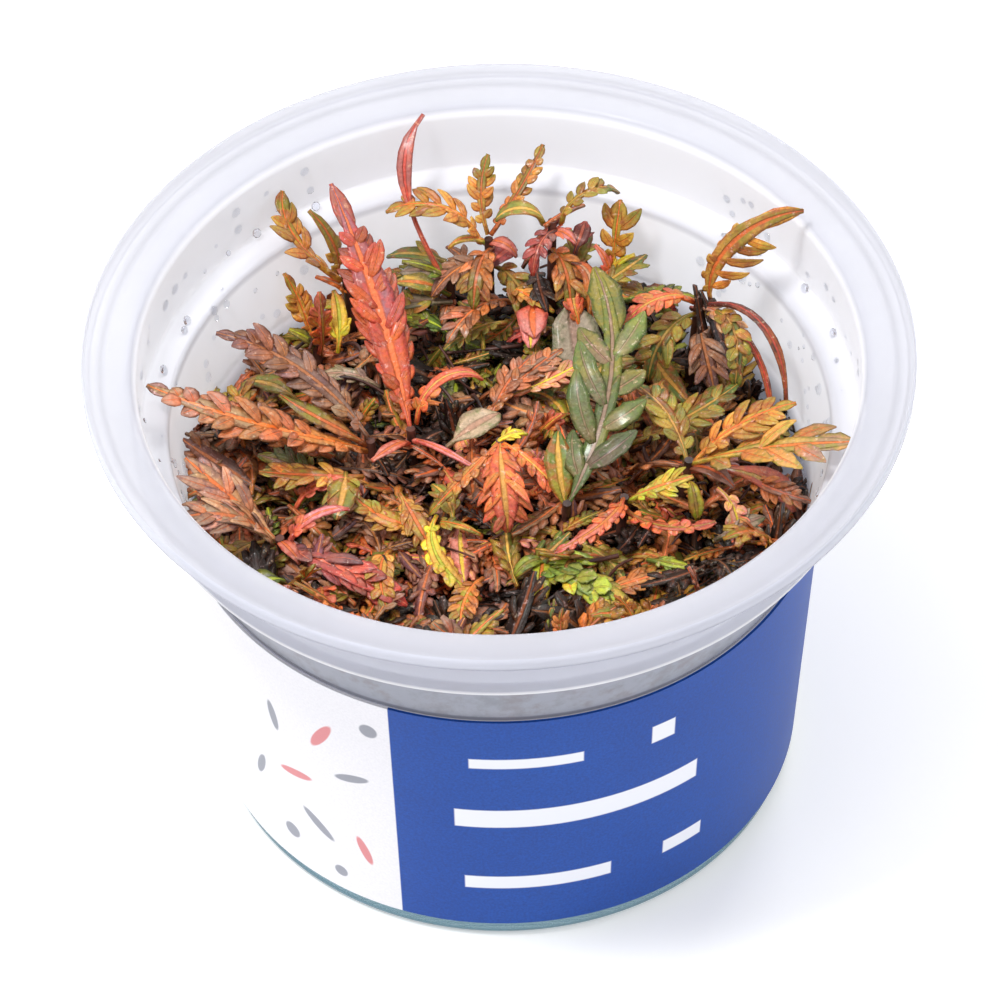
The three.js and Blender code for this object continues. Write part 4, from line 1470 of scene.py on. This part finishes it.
def bed_points(tiers, overhead, rng):
    """Every small leaf's place, facing, length, shape and colour, in tiers from the top down."""
    rows = []
    for x, y in bed_crowns(rng):
        for lowered, count, lengths, rises, palette in tiers:
            height = bed_height(x, y) - lowered + rng.uniform(-4, 3)
            first = rng.uniform(0, 360)
            for k in range(count):
                turn = math.radians(first + LEAF_TO_LEAF * k + rng.uniform(-15, 15))
                rise = math.radians(rng.uniform(*rises))
                length = rng.uniform(*lengths)
                tint = zone_tones(x, y, rng) if palette is None else rng.choice(palette)
                place = np.array((x, y, height - 0.35 * k + rng.uniform(-1, 1)))
                level = math.cos(rise)
                out = np.array((math.cos(turn) * level, math.sin(turn) * level, math.sin(rise)))
                for reach in (0.5, 1):
                    point = place + out * length * reach
                    near = np.hypot(*(overhead[:, :2] - point[:2]).T) < SHADE_REACH
                    if (point[2] > overhead[near, 2] - SHADE_GAP).any():
                        rise = math.radians(rng.uniform(-25, 5))
                        place[2] = min(place[2], overhead[near, 2].min() - SHADE_GAP)
                        break
                facing = (rng.uniform(-0.4, 0.4), -rise, turn)
                rows.append((place, facing, length / SHAPE_LENGTH, rng.randrange(LEAF_SHAPES), tint))
    return rows


def make_bed(material, shapes, tree, overhead, name, tiers, seed):
    """A layer of the bed as one mesh."""
    rng = random.Random(seed)
    rows = bed_points(tiers, overhead, rng)
    mesh = bpy.data.meshes.new(name)
    mesh.from_pydata([tuple(c * MM for c in row[0]) for row in rows], [], [])
    add_values(mesh, "facing", "FLOAT_VECTOR", [c for row in rows for c in row[1]])
    add_values(mesh, "length", "FLOAT", [row[2] for row in rows])
    add_values(mesh, "kind", "INT", [row[3] for row in rows])
    for slot, key in enumerate(("tint", "tip", "rib", "blotch")):
        values = []
        for row in rows:
            hue = np.array([rng.uniform(0.85, 1.2), rng.uniform(0.85, 1.1), rng.uniform(0.7, 1.2)])
            values += [*(linear(TONES[LEAF_TONES[row[4]][slot]]) * hue * rng.uniform(0.7, 1.25)), 1.0]
        add_values(mesh, key, "FLOAT_COLOR", values)
    source = placed(name + "_points", mesh)
    bed = grown(source, tree, name, Shapes=shapes, Material=material)
    places = np.zeros(len(bed.data.vertices) * 3, np.float32)
    bed.data.vertices.foreach_get("co", places)
    places = kept_inside(places.reshape(-1, 3).astype(float) / MM) * MM
    bed.data.vertices.foreach_set("co", places.astype(np.float32).ravel())
    bed.data.update()
    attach(bed, "root")
    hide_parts("undergrowth")


def make_bed_stalks(tree, material):
    """Thin stalks from the gel up into the bed."""
    rng = random.Random(SEED + 5)
    lines = []
    for x, y in bed_crowns(rng):
        top = (x, y, bed_height(x, y) - 2)
        path = stem_path(top)[::2]
        lines.append((path, stalk_widths(len(path), BED_STALK_RADIUS)))
    source = line_object("bed_lines", lines)
    stalks = grown(source, tree, "bed_stalks", Material=material, Sides=5)
    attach(stalks, "root")


def make_twigs(tree, material):
    """Bare runners and leaf stalks that cross in the bed."""
    rng = random.Random(SEED + 9)
    lines = []
    for _ in range(TWIGS):
        angle = rng.uniform(0, 2 * math.pi)
        reach = TWIG_REACH * math.sqrt(rng.random())
        middle = np.array([reach * math.cos(angle), reach * math.sin(angle), BED_Z + rng.uniform(-8, 1)])
        turn, rise = rng.uniform(0, 2 * math.pi), rng.uniform(-0.3, 0.9)
        way = np.array([math.cos(turn) * math.cos(rise), math.sin(turn) * math.cos(rise), math.sin(rise)])
        sag = np.array([rng.uniform(-2, 2), rng.uniform(-2, 2), rng.uniform(0, 2)])
        length = rng.uniform(*TWIG_LENGTHS)
        line = [middle + way * length * s + sag * (1 - 4 * s * s) for s in np.linspace(-0.5, 0.5, 9)]
        lines.append((kept_inside(np.array(line)), stalk_widths(len(line), rng.uniform(*TWIG_RADII))))
    source = line_object("twig_lines", lines)
    twigs = grown(source, tree, "bed_twigs", Material=material, Sides=5)
    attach(twigs, "root")


def make_camera():
    """The camera of the photograph: 47 degrees above the horizon, a long way off."""
    data = bpy.data.cameras.new("camera")
    data.lens = CAMERA_LENS
    data.sensor_width = 36
    data.shift_x = CAMERA_SHIFT
    data.clip_start = 0.01
    camera = placed("camera", data)
    rise = math.radians(CAMERA_ELEVATION)
    back = Vector((0, -math.cos(rise), math.sin(rise))) * CAMERA_DISTANCE * MM
    place = Vector((0, 0, CAMERA_TARGET_Z * MM)) + back
    tilt = Matrix.Rotation(math.radians(90) - rise, 4, "X")
    roll = Matrix.Rotation(math.radians(CAMERA_ROLL), 4, "Z")
    camera.matrix_world = Matrix.Translation(place) @ tilt @ roll
    bpy.context.scene.camera = camera


def make_light(name, place, size, power):
    """A soft square light that faces the cup."""
    data = bpy.data.lights.new(name, "AREA")
    data.size = size
    data.energy = power
    light = placed(name, data)
    light.location = place
    light.rotation_euler = (Vector((0, 0, 0.04)) - Vector(place)).to_track_quat("-Z", "Y").to_euler()


def make_studio():
    """A pale floor, an even white surround and two soft lights."""
    world = bpy.data.worlds.new("studio")
    world.use_nodes = True
    world.node_tree.nodes["Background"].inputs["Color"].default_value = (1, 1, 1, 1)
    world.node_tree.nodes["Background"].inputs["Strength"].default_value = WORLD_STRENGTH
    scene = bpy.context.scene
    scene.world = world
    scene.view_settings.view_transform = "Standard"
    for name, (place, size, power) in LIGHTS.items():
        make_light(name, place, size, power)
    corners = [(x * STUDIO_REACH, y * STUDIO_REACH, 0) for x, y in ((-1, -1), (1, -1), (1, 1), (-1, 1))]
    floor = new_mesh("studio_floor", corners, [(0, 1, 2, 3)], [floor_material()])
    floor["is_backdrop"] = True


def wall_patch(azimuths, heights):
    """A sheet on the inside of the cup's wall between two azimuths and two heights, facing in."""
    gap = WALL - 0.02
    levels = (BODY_TOP_Z, NECK_TOP_Z + WALL, SHOULDER_Z + WALL, HEIGHT)
    radii = np.array((BODY_TOP_RADIUS, NECK_TOP_RADIUS, COLLAR_RADIUS, COLLAR_RADIUS)) - gap
    columns, rows = 16, 6
    angles = np.radians(np.linspace(*azimuths, columns + 1))
    points = []
    for z in np.linspace(*heights, rows + 1):
        radius = np.interp(z, levels, radii)
        points += [(radius * math.cos(a), radius * math.sin(a), z) for a in angles]
    faces = []
    for row in range(rows):
        for i in range(columns):
            low = row * (columns + 1) + i
            high = low + columns + 1
            faces.append((low, high, high + 1, low + 1))
    return points, faces


def drop_tree():
    """Flattened drops scattered over a sheet, of uneven size."""
    tree, wires = geometry_tree(
        "condensation",
        {
            "Per area": ("NodeSocketFloat", 1e5),
            "Smallest": ("NodeSocketFloat", 0.0002),
            "Largest": ("NodeSocketFloat", 0.0008),
            "Seed": ("NodeSocketInt", 1),
            "Material": ("NodeSocketMaterial", None),
        },
    )
    start = wires["Geometry"]
    scatter = start.node(
        "GeometryNodeDistributePointsOnFaces",
        {"Mesh": start, "Distance Min": 0.0009, "Density Max": wires["Per area"], "Seed": wires["Seed"]},
        distribute_method="POISSON",
    )
    turn = Wire(tree, scatter.socket.node.outputs["Rotation"])
    ball = start.node("GeometryNodeMeshUVSphere", {"Segments": 8, "Rings": 5, "Radius": 1.0})
    flat = start.node("GeometryNodeTransform", {"Geometry": ball, "Scale": (1.0, 1.0, 0.4)})
    limits = {"Min": wires["Smallest"], "Max": wires["Largest"], "Seed": wires["Seed"]}
    size = start.node("FunctionNodeRandomValue", limits, "Value")
    inputs = {"Points": scatter, "Instance": flat, "Rotation": turn, "Scale": size}
    end_tree(start.node("GeometryNodeInstanceOnPoints", inputs), wires["Material"])
    return tree


def make_drops(material):
    """Condensation on the inside of the wall, thickest at the left and right."""
    tree = drop_tree()
    for i, (azimuths, heights, density) in enumerate(WET_PATCHES):
        points, faces = wall_patch(azimuths, heights)
        source = new_mesh("wet_patch", points, faces, [material])
        name = f"drops_{i + 1}"
        drops = grown(source, tree, name, Per_area=density, Seed=i + SEED, Material=material)
        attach(drops, "root")


def main():
    leaf = leaf_material()
    stem = stem_material()
    make_cup(outer_cup_material(), inner_cup_material())
    make_label(label_material(), paper_material())
    make_gel(gel_material())
    make_leaves(leaf)
    stalks = stem_tree()
    make_stems(stalks, stem, leaf)
    make_fronds(leaf)
    shapes = small_leaf_shapes(leaf)
    tree = bed_tree()
    overhead = overhead_points()
    for i, (name, tiers) in enumerate(BED_LAYERS.items()):
        make_bed(leaf, shapes, tree, overhead, name, tiers, SEED + i)
    for shape in list(shapes.objects):
        bpy.data.objects.remove(shape)
    bpy.data.collections.remove(shapes)
    make_bed_stalks(stalks, stem)
    make_twigs(stalks, stem)
    make_drops(water_material())
    make_studio()
    make_camera()


main()
size_at_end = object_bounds()
bounds = {"start": size_at_start, "end": size_at_end}
{key: [list(corner) for corner in box] for key, box in bounds.items()}
